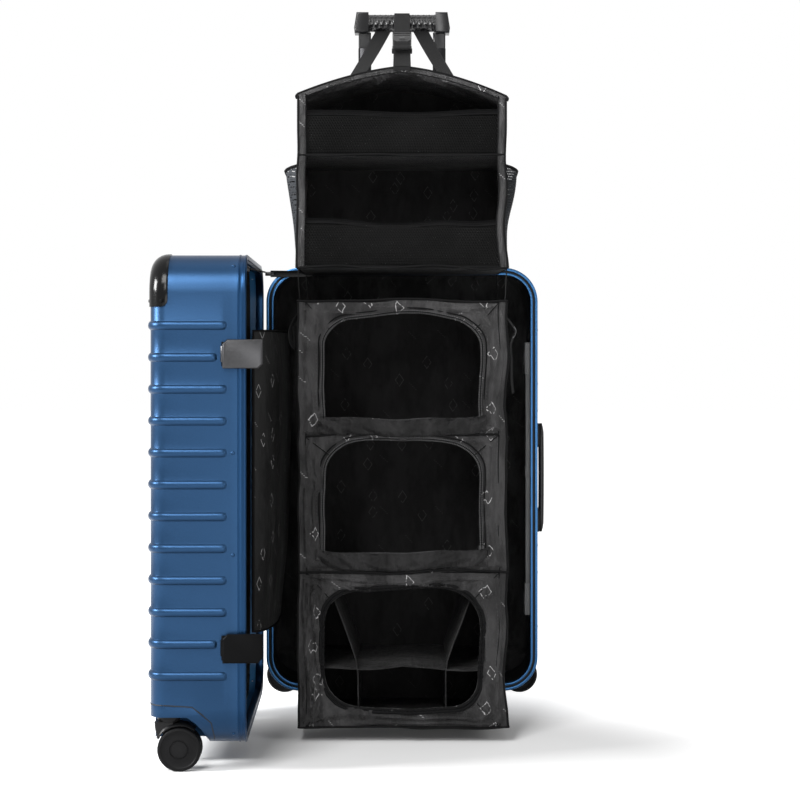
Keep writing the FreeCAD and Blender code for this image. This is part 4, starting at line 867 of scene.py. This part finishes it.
# the roof cloth takes the lighter canopy nylon: painted light on its underside
roof = make("roof_canopy_cloth", [sheet_mesh(rows)], "canopy", "roof", "board_fabric", "shelf_roof", thick=2.6,
            offset=-1)
edge_x = span(-144.6, 144.6, 48)
rows = [[(x, FRONT - 0.6 - 0.7 * sin(pi * t) - 0.3 * ripple(x * 0.06, t, 0), roof_z(x) + 0.8 - 7.4 * t)
         for x in edge_x] for t in span(0, 1, 4)]
make("roof_front_band", [sheet_mesh(rows)], "shelf", "roof", "board_fabric", thick=0.9)
parts = [sweep_mesh([(x, y, roof_z(x) + up) for x in edge_x], circle(radius, count), (0, 1, 0))
         for y, up, radius, count in ((FRONT - 0.9, -6.8, 0.8, 6), (FRONT - 0.4, 0.6, 1.7, 10),
                                      (BACK - 1.2, 0.6, 1.7, 10))]
for s in (-1, 1):
    low = roof_z(s * 144.6)
    parts.append(sweep_mesh([(s * 144.4, y, low - 0.6) for y in (*range(-215, -8, 18), -9)], circle(1.8)))
    ear = smooth_path([(s * 138, -215, roof_z(s * 138)), (s * 143.4, -215.5, low + 0.8),
                       (s * 146.4, -215.5, low - 2.4), (s * 145.2, -215, low - 6)], 4)
    parts.append(sweep_mesh(ear, circle(1.8), (0, 1, 0)))
make("roof_piping", parts, "piping", "roof", "webbing")


# --- the shelf's walls
def near_floor(z, floors):
    """How far a height is from the nearest floor, as a share of 60 mm."""
    return min([abs(z - f) for f in floors] + [60]) / 60


def wall_rows(s, z0, z1, floors, seed):
    """A side wall's rows from back to front: it draws in between the shelf's floors."""
    top = min(z1, roof_z(s * HALF_W) - 2.2) if z1 > 700 else z1
    rows = []
    for z in span(z0, top, 24):
        draw, row = 5 * near_floor(z, floors) ** 0.8, []
        for k in range(17):
            y = BACK - 0.8 - 206 * k / 16
            inward = draw * sin(pi * k / 16) + 1.1 * ripple(seed, y * 0.02, z * 0.02)
            row.append((s * (HALF_W - 0.7 - max(0, inward)), y, z))
        rows.append(row)
    return rows


def back_rows(z0, z1, floors, arched):
    rows = []
    for j in range(25):
        row = []
        for k in range(17):
            x = -143 + 286 * k / 16
            z = z0 + ((min(z1 + 8, roof_z(x) - 2.2) if arched else z1) - z0) * j / 24
            inward = 3 * near_floor(z, floors) * sin(pi * k / 16) + ripple(x * 0.02, z0, z * 0.02)
            row.append((x, BACK - 0.8 - max(0, inward), z))
        rows.append(row)
    return rows


for unit, z0, z1, floors, (rise, slack, arch, gable) in (
        ("upper", 657.4, 889.4, (660, 815, 892), (5, 3, 40, 26)),
        ("lower", 21.2, 612.6, (21, 237, 426, 613), (0, 0, 0, 0))):
    for s, label in ((-1, "left"), (1, "right")):
        rows = wall_rows(s, z0, z1 + rise, floors, s * 3.1 + z0)
        wall = make(f"{unit}_{label}_wall", [sheet_mesh(rows)], "shelf", "shelf", "shelf_fabric", thick=1.3)
    rear = make(f"{unit}_back_wall", [sheet_mesh(back_rows(z0, z1 + arch, floors, arch > 0))], "shelf_in", "shelf",
                "shelf_fabric", "upper_unit_walls" if unit == "upper" else None, thick=1.3)

# --- the front cloths: each tier's opening, height range, corner radii, the opening's arch and sag, and the area
# of the folded cloth as a share of the plain cloth's
OPENINGS = {3: ((-107, 107, 449, 592), (426, 612.6), (3, 3, 36, 36), (11, 0), 1.17),
            4: ((-107, 107, 264, 420), (237, 426), (3, 3, 40, 40), (14, 0), 1.2),
            5: ((-107, 107, 47, 213), (21.2, 237), (42, 42, 44, 44), (6, 7), 1.29)}


def around(tier, grow, per_side, arc, down=1.0, up=1.0):
    """A loop round a tier's opening, grown: its top edge is arched and its bottom edge sags."""
    (x0, x1, z0, z1), _, radii, (top, bottom), _ = OPENINGS[tier]
    out = []
    for x, z in rounded_outline(x0 - grow, x1 + grow, z0 - grow * down, z1 + grow * up, radii, per_side, arc):
        side = ((2 * x - x0 - x1) / (x1 - x0)) ** 2
        rise = max(0.0, min(1.0, (z - z0) / (z1 - z0)))
        out.append((x, z - top * side * rise ** 2 + bottom * side * (1 - rise) ** 2))
    return out


def puff(x, z, t, run, tier):
    """How the front cloth sits out between its seams: long creases, puckers at the opening, folds at the left."""
    bottom = tier == 5
    long_folds = 1 - abs(ripple(run * 0.011, t * 2.6, tier * 7.3)) * 3.2
    cross_folds = 1 - abs(ripple(x * 0.021 + z * 0.012, z * 0.019 - x * 0.008, tier * 3.1)) * 3.0
    crease = 4.0 * max(0.0, long_folds) ** 1.6 + 3.4 * max(0.0, cross_folds) ** 1.6
    crease *= sin(pi * min(1, t * 1.1 + 0.04)) ** 0.5
    pinch = (2.4 if bottom else 0.5) * (1 - t) ** 1.6 * ripple(run * 0.16, tier, t * 1.5)
    if bottom and x < -100:
        fold = max(0.0, sin((x + 0.09 * z + 6 * ripple(z * 0.02, 4, 0)) * 0.46)) ** 2
        crease += 5.0 * fold * min(1, (-100 - x) / 10) * sin(pi * min(1, t * 0.94 + 0.06))
    return FRONT + 0.6 - 2.0 * sin(pi * t) - crease * (1.25 if bottom else 0.9) - pinch


for tier, ((x0, x1, z0, z1), (low, high), radii, drops, folded) in OPENINGS.items():
    inner = around(tier, 0, (60, 40), 8)
    edge = rounded_outline(-HALF_W + 0.4, HALF_W - 0.4, low, high, (0.01,) * 4, (60, 40), 8)
    walked = [0.0]
    for p, q in zip(inner, inner[1:]):
        walked.append(walked[-1] + hypot(q[0] - p[0], q[1] - p[1]))
    rows = []
    for t in span(0, 1, 16):
        row = []
        for (a, b), (c, d), run in zip(inner, edge, walked):
            x, z = a + (c - a) * t, b + (d - b) * t
            row.append((x, puff(x, z, t, run, tier), z))
        rows.append(row + row[:1])
    cloth = make(f"tier_{tier}_front_cloth", [sheet_mesh(rows)], "shelf", "shelf", "shelf_fabric",
                 "lower_unit_walls" if tier == 3 else None, thick=1.4)
    width, height = (2 * HALF_W - 0.8) / 1000, (high - low) / 1000
    hole = (x1 - x0) * (z1 - z0) / 1e6 - sum(r * r for r in radii) * 0.215 / 1e6 - 0.214 * sum(drops) / 3000

# --- zips, hems, stitches and mitre seams round the openings
zip_tape, teeth, hems, threads = [], [], [], []
for tier in (3, 4):
    line = [Vector((x, FRONT - 2.8, z)) for x, z in around(tier, 2.4, (30, 24), 8)]
    zip_tape.append(sweep_mesh(line, flat_section(7, 1.2), (0, 1, 0), True))
    ring = [(x, FRONT - 3.2, z) for x, z in around(tier, 7.6, (30, 24), 8)]
    zip_tape.append(sweep_mesh(ring, circle(1.2, 6), (0, 1, 0), True))
    for p, ahead in walk(line + line[:1], 2.4, 0.0):
        verts, faces = block_mesh((-0.6, -0.8, -2.3), (0.6, 0.4, 2.3), 0)
        outward = Vector((0, 1, 0))
        spin = Matrix((ahead, outward, outward.cross(ahead))).transposed()
        teeth.append(([p + Vector((0, -0.4, 0)) + spin @ v for v in verts], faces))
for grow, lift in ((0, 2.6), (3.2, 4.0)):
    line = []
    for k, (x, z) in enumerate(around(5, 2, (66, 50), 14)):
        wave = ripple(k * 0.45, grow, 0)
        line.append((x * (1 + grow / 107) + 0.8 * wave, FRONT - lift - 1.3 * wave,
                     130 + (z - 130) * (1 + grow / 83) + 0.8 * wave))
    sections = [[(u * (1 + 0.25 * sin(k * 2.1 + grow)), v) for u, v in circle(2.1, 8)] for k in range(len(line))]
    hems.append(sweep_mesh(line, lambda k: sections[k], (0, 1, 0), True))
for tier in OPENINGS:
    ring = around(tier, 11, (20, 14), 6, 0.7, 0.6)
    threads += stitches([(x, FRONT - 3.4, z) for x, z in ring + ring[:1]], 5, 2.8, 0.35)
for s in (-1, 1):
    threads += stitches([(s * 131.2, FRONT - 2.4, z) for z in range(24, 611, 6)], 5, 3, 0.4)
    for tier, ((_, _, z0, z1), (low, high), _, drops, _) in OPENINGS.items():
        corners = ((z1 - drops[0] - 8, high - 2), (z0 + drops[1] + 8, low + 2))
        for near, far in corners[:1] if tier < 5 else corners:
            seam = [(s * (100 + 33 * k / 8), FRONT - 3.6 + 1.2 * k / 8, near + (far - near) * k / 8)
                    for k in range(9)]
            hems.append(sweep_mesh(seam, circle(0.7, 6), (0, 1, 0)))
            threads += stitches([(x - s * 2.2, y - 0.3, z) for x, y, z in seam], 4.5, 2.8, 0.35)
for name, parts, material, slot in (("zip_tapes", zip_tape, "piping", "webbing"),
                                    ("zip_teeth_rows", teeth, "zip", "webbing"),
                                    ("tier_5_elastic_hem", hems, "piping", "webbing"),
                                    ("shelf_stitching", threads, "thread", "shelf_fabric")):
    make(name, parts, material, "shelf", slot)

# piping along the shelf's edges
parts = []
for s in (-1, 1):
    for z0, z1 in ((21.5, 612.5), (657.5, roof_z(s * HALF_W) - 2)):
        for y, radius in ((FRONT - 0.2, 1.9), (BACK - 0.8, 1.7)):
            line = [(s * (HALF_W - 0.5), y, z) for z in span(z0, z1, 24)]
            parts.append(sweep_mesh(line, circle(radius, 8)))
make("shelf_edge_piping", parts, "piping", "shelf", "webbing")

# stiffened floors in their cloth covers, with piping along their front and sides
for label, top, body, replaced in (
        ("tier_1", 815, "floor_1", "tier_1_floor"), ("tier_2", 660, "floor_2", "tier_2_floor"),
        ("ceiling", 613, "ceiling_3", "lower_roof"), ("tier_3", 426, "floor_3", "tier_3_floor"),
        ("tier_4", 237, "floor_4", "tier_4_floor"), ("tier_5", 24, "back_case", "tier_5_floor")):
    make(f"{label}_board", [block_mesh((-141.8, -212.8, top - 3), (141.8, -10.2, top), 1.2, 3)], "board", body,
         "board_fabric", replaced)
    edge = [(x, y, top - 1.5) for x, y in ((-143.4, -11), (-143.4, -214.6), (143.4, -214.6), (143.4, -11))]
    make(f"{label}_board_piping", [sweep_mesh(edge[i:i + 2], circle(1.6, 8), (0, 0, 1)) for i in range(3)],
         "piping", body, "webbing")

# mesh pockets across the two upper tiers, with a bound top edge that hangs in a shallow curve
for tier, base, height in ((1, 815.5, 60), (2, 660.5, 63)):
    rows = []
    for t in span(0, 1, 12):
        row = []
        for x in span(-141.6, 141.6, 40):
            u = x / 141.6
            drop = 3.0 * (1 - u * u) + 1.2 * sin(5 * u + tier)
            belly = 5.5 * sin(pi * t) ** 0.8 * (1 - u ** 4) * (0.8 + 0.3 * sin(6 * u + tier))
            row.append((x, FRONT + 1.4 - belly, base + (height - drop) * t))
        rows.append(row)
    net = make(f"tier_{tier}_mesh_net", [sheet_mesh(rows)], "mesh", "shelf", "mesh_fabric",
               "mesh_pockets" if tier == 1 else None, thick=0.5)
    band = [Vector(p) + Vector((0, -0.3, -2)) for p in rows[-1]]
    make(f"tier_{tier}_mesh_band", [sweep_mesh(band, flat_section(1.8, 7), (0, 1, 0))], "piping", "shelf", "webbing")

# side pockets that stand away from the walls at their tops
for s, label, replaced in ((-1, "left", "side_pockets"), (1, "right", None)):
    rows = []
    for t in span(0, 1, 16):
        row = []
        for u in span(-1, 1, 28):
            out = (1.2 + 17.0 * t ** 1.3) * min(1.0, (1 - abs(u)) * 5.5) ** 0.6 if abs(u) < 1 else 0.0
            out += 0.8 * ripple(u * 3, t * 3, s * 4.0) * min(1, (1 - abs(u)) * 4)
            z = 668 + 132 * t - 10 * (1 - u ** 4) * t ** 2
            row.append((s * (HALF_W + 0.4 + max(0, out)), -111.5 + 90 * u, z))
        rows.append(row)
    net = make(f"{label}_side_net", [sheet_mesh(rows)], "mesh_light", "shelf", "shelf_fabric", replaced, thick=0.6)
    make(f"{label}_side_net_band", [sweep_mesh(rows[-1], circle(2.4, 8), (0, 0, 1))], "piping", "shelf", "webbing")

# the tapes that carry the lower unit
parts = []
for sx in (-1, 1):
    for y in (FRONT + 3.6, BACK - 3.6):
        line = [(sx * 141.6 + 0.25 * sin(k * 0.8), y + 0.3 * cos(k), 613.4 + 43.3 * k / 10) for k in range(11)]
        parts.append(sweep_mesh(line, flat_section(7, 1.3), (0, 1, 0)))
make("lower_unit_tapes", parts, "webbing", "shelf", "webbing", "corner_tapes")

# the divided bottom tier: two uprights that lean out at their tops, and a level cloth
parts = []
for x in (-61, 61):
    parts.append(sheet_mesh([[
        (x + copysign(3.5 * sin(pi * j / 10) * sin(pi * k / 10) + 34 * max(0.0, (j - 4.4) / 5.6) ** 1.15, x),
         -205 + 192 * k / 10, 24.6 + 173 * j / 10 - 10 * sin(pi * k / 10) * (j == 10))
        for k in range(11)] for j in range(11)]))
parts.append(sheet_mesh([[
    (-141.8 + 283.6 * k / 20, -205 + 192 * j / 8, 103.6 - 5 * abs(sin(pi * k / 20 * 2)) * (j < 8))
    for k in range(21)] for j in range(9)]))
make("tier_5_divider_cloth", parts, "shelf_in", "shelf", "shelf_fabric", "tier_5_dividers", thick=1.2)

# flaps that hang down from the two zipped openings, with folds running in from their corners
for tier, top in ((3, 449), (4, 264)):
    rows = []
    for v in span(0, 1, 18):
        row = []
        for u in span(-1, 1, 96):
            sag = 3.5 * (1 - u * u) - 2.5 * max(0.0, abs(u) - 0.9) * 10
            z = top + 2.5 - sag - (23.5 + 2.0 * ripple(u * 2.2, tier, 0)) * v
            wander = ripple(u * 3.1, v * 1.7, tier * 2.0 + (5 if u > 0 else 0))
            fold = sin(5.2 * (v * 1.5 - (1 - abs(u)) * 4.4) + 2.6 * wander) * exp(-2.6 * (1 - abs(u)))
            fold += 0.55 * ripple(u * 7 + v * 2.5 * (1 if u > 0 else -1), v * 2.0, tier * 5.0)
            out = 3.8 + 4.8 * sin(pi * min(1, v * 0.94 + 0.06)) ** 0.7 + 3.6 * fold
            row.append((116 * u, FRONT - max(0.6, out) + (1.2 if v == 1 else 0), z))
        rows.append(row)
    flap = make(f"tier_{tier}_hanging_flap", [sheet_mesh(rows)], "plain", "shelf", "shelf_fabric", thick=1.2)

# borders down the front of both units, with a seam beside each and a bound lip across at each floor
parts, lines = [], []
for z, half, lift in ((612.6, 145.6, 1.6), (426, 133, 2.8), (237, 145.2, 3.0), (21.6, 145.6, 1.6), (658.8, 143, 1.6),
                      (813.6, 143, 1.6)):
    lip = [(-half + 2 * half * k / 40, FRONT - lift - 0.4 * sin(k * 0.9), z + 0.9 * sin(k * 0.31 + z))
           for k in range(41)]
    lines.append(sweep_mesh(lip, circle(1.5, 8), (0, 1, 0)))
for s in (-1, 1):
    for z0, z1 in ((657.6, roof_z(s * 140) - 1), (21.6, 612.4)):
        parts.append(sheet_mesh([[
            (s * (133.2 + 10.6 * k / 4), FRONT - 1.0 - 1.1 * sin(pi * k / 4) - 0.5 * ripple(s, k * 0.4, j * 0.25),
             z0 + (z1 - z0) * j / 60) for k in range(5)] for j in range(61)]))
        lines.append(sweep_mesh([(s * 133.0, FRONT - 1.5, z) for z in span(z0, z1, 40)], circle(0.8, 6)))
make("front_borders", parts, "shelf", "shelf", "shelf_fabric", thick=0.9, offset=-1)
make("front_seams", lines, "piping", "shelf", "webbing")

# a loop on the left side of the lower unit, and a loose tab on the right with its ring
loop = smooth_path([(-145, -202, 592), (-149, -204, 586), (-154, -205, 572), (-153, -205, 556), (-147, -204, 545),
                    (-146.5, -203, 560), (-149, -203, 578)], 5)
tab = smooth_path([(145, -202, 590), (149, -204, 585), (156.5, -205, 571), (151, -205, 560), (147.5, -204, 548),
                   (149.5, -204, 520), (153, -204, 497), (156, -204, 484)], 5)
make("side_loop_and_tab", [sweep_mesh(loop, flat_section(9, 1.2), (0.55, 0.84, 0)),
                           sweep_mesh(tab, flat_section(8, 1.2), (0.45, 0.9, 0))], "webbing", "shelf", "webbing")
clasp = smooth_path([(154.5, -207.5, 577), (156.5, -207.5, 572), (154, -207.5, 565), (151, -207.5, 562)], 4)
make("tab_ring", [sweep_mesh(clasp, circle(1.1, 8), (0, 1, 0))], "tube", "shelf", "webbing")

# --- the door's panel, whose fullness follows knots of (share of height, mm), and the stay
KNOTS = ((0, 29), (0.3, 40), (0.75, 45), (1, 41.5))
rows = []
for v in span(0, 1, 32):
    low, high = next((p, q) for p, q in zip(KNOTS, KNOTS[1:]) if v <= q[0])
    most = low[1] + (high[1] - low[1]) * (0.5 - 0.5 * cos(pi * (v - low[0]) / (high[0] - low[0])))
    row = []
    for reach in (8.5 + 217 * t ** 1.5 for t in span(0, 1, 28)):
        swell = most * (min(1.0, (reach - 8.5) / 25.5) ** 0.6 if reach < 34
                        else (1 - ((reach - 34) / 191.6) ** 3) ** 0.62)
        swell += 1.3 * ripple(reach * 0.03, v * 6, 2.0) * min(1, swell / 8)
        lower = 1.5 * (swell / 22) * (1 - v) ** 8
        row.append(in_half("door", -WIDTH / 2 + reach, 1.4 - swell, 156.5 + 413.5 * v - lower))
    rows.append(row)
panel = make("door_panel_cloth", [sheet_mesh(rows)], "panel", "door", "lining_fabric", "divider_panel", thick=2.0)
edge = rows[0] + [row[-1] for row in rows[1:]] + rows[-1][-2::-1]
make("door_panel_binding", [sweep_mesh(edge, circle(2.0, 8), (0.3, 1, 0.2))], "piping", "door", "webbing")

stay = [(-134, -1.4, 658.5), (-150, -1.3, 658.7), (-170, -1.4, 658.4), (-190, -1.6, 658.6), (-197, -2.1, 658.5)]
make("stay_webbing", [sweep_mesh(smooth_path(stay, 4), flat_section(1.5, 9.6), (0, 1, 0))], "webbing", "back_case",
     "webbing", "stay_strap")
make("stay_clip", [block_mesh((-205, -4, 655.4), (-191.5, -0.6, 661.6), 1.0),
                   block_mesh((-200, -4.6, 656.6), (-195, -3.6, 660.4), 0.5)], "satin", "back_case", "webbing")
run = [in_half("door", x, -2.8, z)
       for x, z in ((162.7, 649), (100, 651.2), (20, 653.6), (-60, 656.2), (-140, 658.8), (-201.7, 661))]
line = bpy.data.curves.new("stay_cord_line", "CURVE")
line.dimensions, line.bevel_depth, line.bevel_resolution, line.resolution_u = "3D", 0.00125, 3, 6
spline = line.splines.new("NURBS")
spline.points.add(len(run) - 1)
for point, (x, y, z) in zip(spline.points, run):
    point.co = (x / 1000, y / 1000, z / 1000, 1)
spline.order_u, spline.use_endpoint_u = 3, True
cord = bpy.data.objects.new("stay_cord_line", line)
bpy.context.scene.collection.objects.link(cord)
line.materials.append(MAT["webbing"])
settle_on(cord, "door", "webbing", "stay_cord")
length = sum((Vector(a) - Vector(b)).length for a, b in zip(run, run[1:])) / 1000
[c / 1000 for c in run[0]]
verts, faces = block_mesh((0, 0, 0), (12, 9.5, 7), 1.4)
make("stay_tab", [([in_half("door", 158.75 + v.x, 6 - v.y, 645 + v.z) for v in verts], faces)], "satin", "door",
     "webbing")

# --- the shelf hangs a little unevenly: all its pieces take the same small shifts, so they stay together
SWAY, DROOP = 0.0055, 0.0042
for name in MADE:
    obj = bpy.data.objects.get(name)
    if obj is None:
        continue
    spots = [v.co for v in obj.data.vertices]
    xs, ys, zs = zip(*spots)
    if max(ys) > 0.002 or min(ys) < -0.24 or max(zs) > 0.9 or min(zs) < 0.015 or max(map(abs, xs)) > 0.17:
        continue
    for p in spots:
        x, y, z = p * 1000
        low, edge = min(1.0, max(0.0, (850 - z) / 60)), min(1.0, abs(x) / 146) ** 2
        p.x += SWAY * low * edge * ripple(z * 0.016, 3.7 if x > 0 else 8.2, y * 0.004)
        p.z += DROOP * low * ripple(x * 0.014, z * 0.006, y * 0.005)


# --- floor, light and camera: to the eye and in reflections the world is white, and the floor away from the part
def seen(tree):
    rays = node(tree, "LightPath").outputs
    return greater(rays["Is Camera Ray"], rays["Is Glossy Ray"])


n = Look("floor_white")
away = n.add("VectorMath", {0: n.place, 1: (0.05, -0.4, 0)}, operation="SUBTRACT").outputs[0]
away = n.add("VectorMath", {0: away}, operation="LENGTH").outputs["Value"]
spread = n.add("MapRange", {"Value": away, "From Min": 0.28, "From Max": 0.66, "To Min": 0.02, "To Max": 1.0},
               interpolation_type="SMOOTHSTEP").outputs[0]
glow = n.add("Emission", {"Strength": times(seen(n.tree), spread)}).outputs[0]
matte = n.tree.nodes["Principled BSDF"]
for key, value in (("Base Color", (0.71, 0.71, 0.71)), ("Roughness", 0.95), ("Specular IOR Level", 0.0)):
    put(matte.inputs[key], value)
both = n.add("AddShader", {0: matte.outputs[0], 1: glow}).outputs[0]
put(n.tree.nodes["Material Output"].inputs["Surface"], both)
bpy.ops.mesh.primitive_plane_add(size=30, location=(0, 0, 0))
ground = bpy.context.object
ground.name = "floor"
ground.data.materials.append(n.material)

world = bpy.data.worlds.new("studio")
bpy.context.scene.world = world
world.use_nodes = True
tree = world.node_tree
back = tree.nodes["Background"]
put(back.inputs["Color"], (1, 1, 1))
put(back.inputs["Strength"], 0.3)
front = node(tree, "Background", {"Color": (1, 1, 1), "Strength": 1.0})
choose = node(tree, "MixShader", {0: seen(tree), 1: back.outputs[0], 2: front.outputs[0]})
put(tree.nodes["World Output"].inputs["Surface"], choose.outputs[0])

# each lamp's place, what it points at, its size and its power
LAMPS = {"key": ((-0.9, -2.3, 2.4), (-0.15, 0, 0.6), 1.1, 84),
         "high_front": ((-0.6, -2.6, 1.45), (-0.25, -0.3, 0.6), 0.5, 14),
         "left_strip": ((-2.1, -0.8, 1.2), (-0.3, -0.2, 0.5), 0.6, 92),
         "front": ((0.25, -3.2, 0.3), (0, 0, 0.7), 1.0, 16),
         "fill": ((2.2, -2.0, 1.3), (0, 0, 0.45), 0.9, 22),
         "top": ((0, -0.2, 3.2), (0, 0, 0.3), 1.4, 8)}
for name, (place, aim, across, power) in LAMPS.items():
    lamp = bpy.data.lights.new(name, "AREA")
    lamp.size, lamp.energy = across, power
    obj = bpy.data.objects.new(name, lamp)
    obj.location = place
    obj.rotation_euler = (Vector(aim) - Vector(place)).to_track_quat("-Z", "Y").to_euler()
    bpy.context.scene.collection.objects.link(obj)

lens = bpy.data.cameras.new("camera")
lens.lens, lens.sensor_width = 83.6, 36
lens.shift_x, lens.shift_y = -0.0025, -0.05675
camera = bpy.data.objects.new("camera", lens)
camera.location = (0, -2.787, 0.5375)
camera.rotation_euler = (pi / 2, 0, 0)
bpy.context.scene.collection.objects.link(camera)
bpy.context.scene.camera = camera
bpy.context.scene.view_settings.view_transform = "Standard"
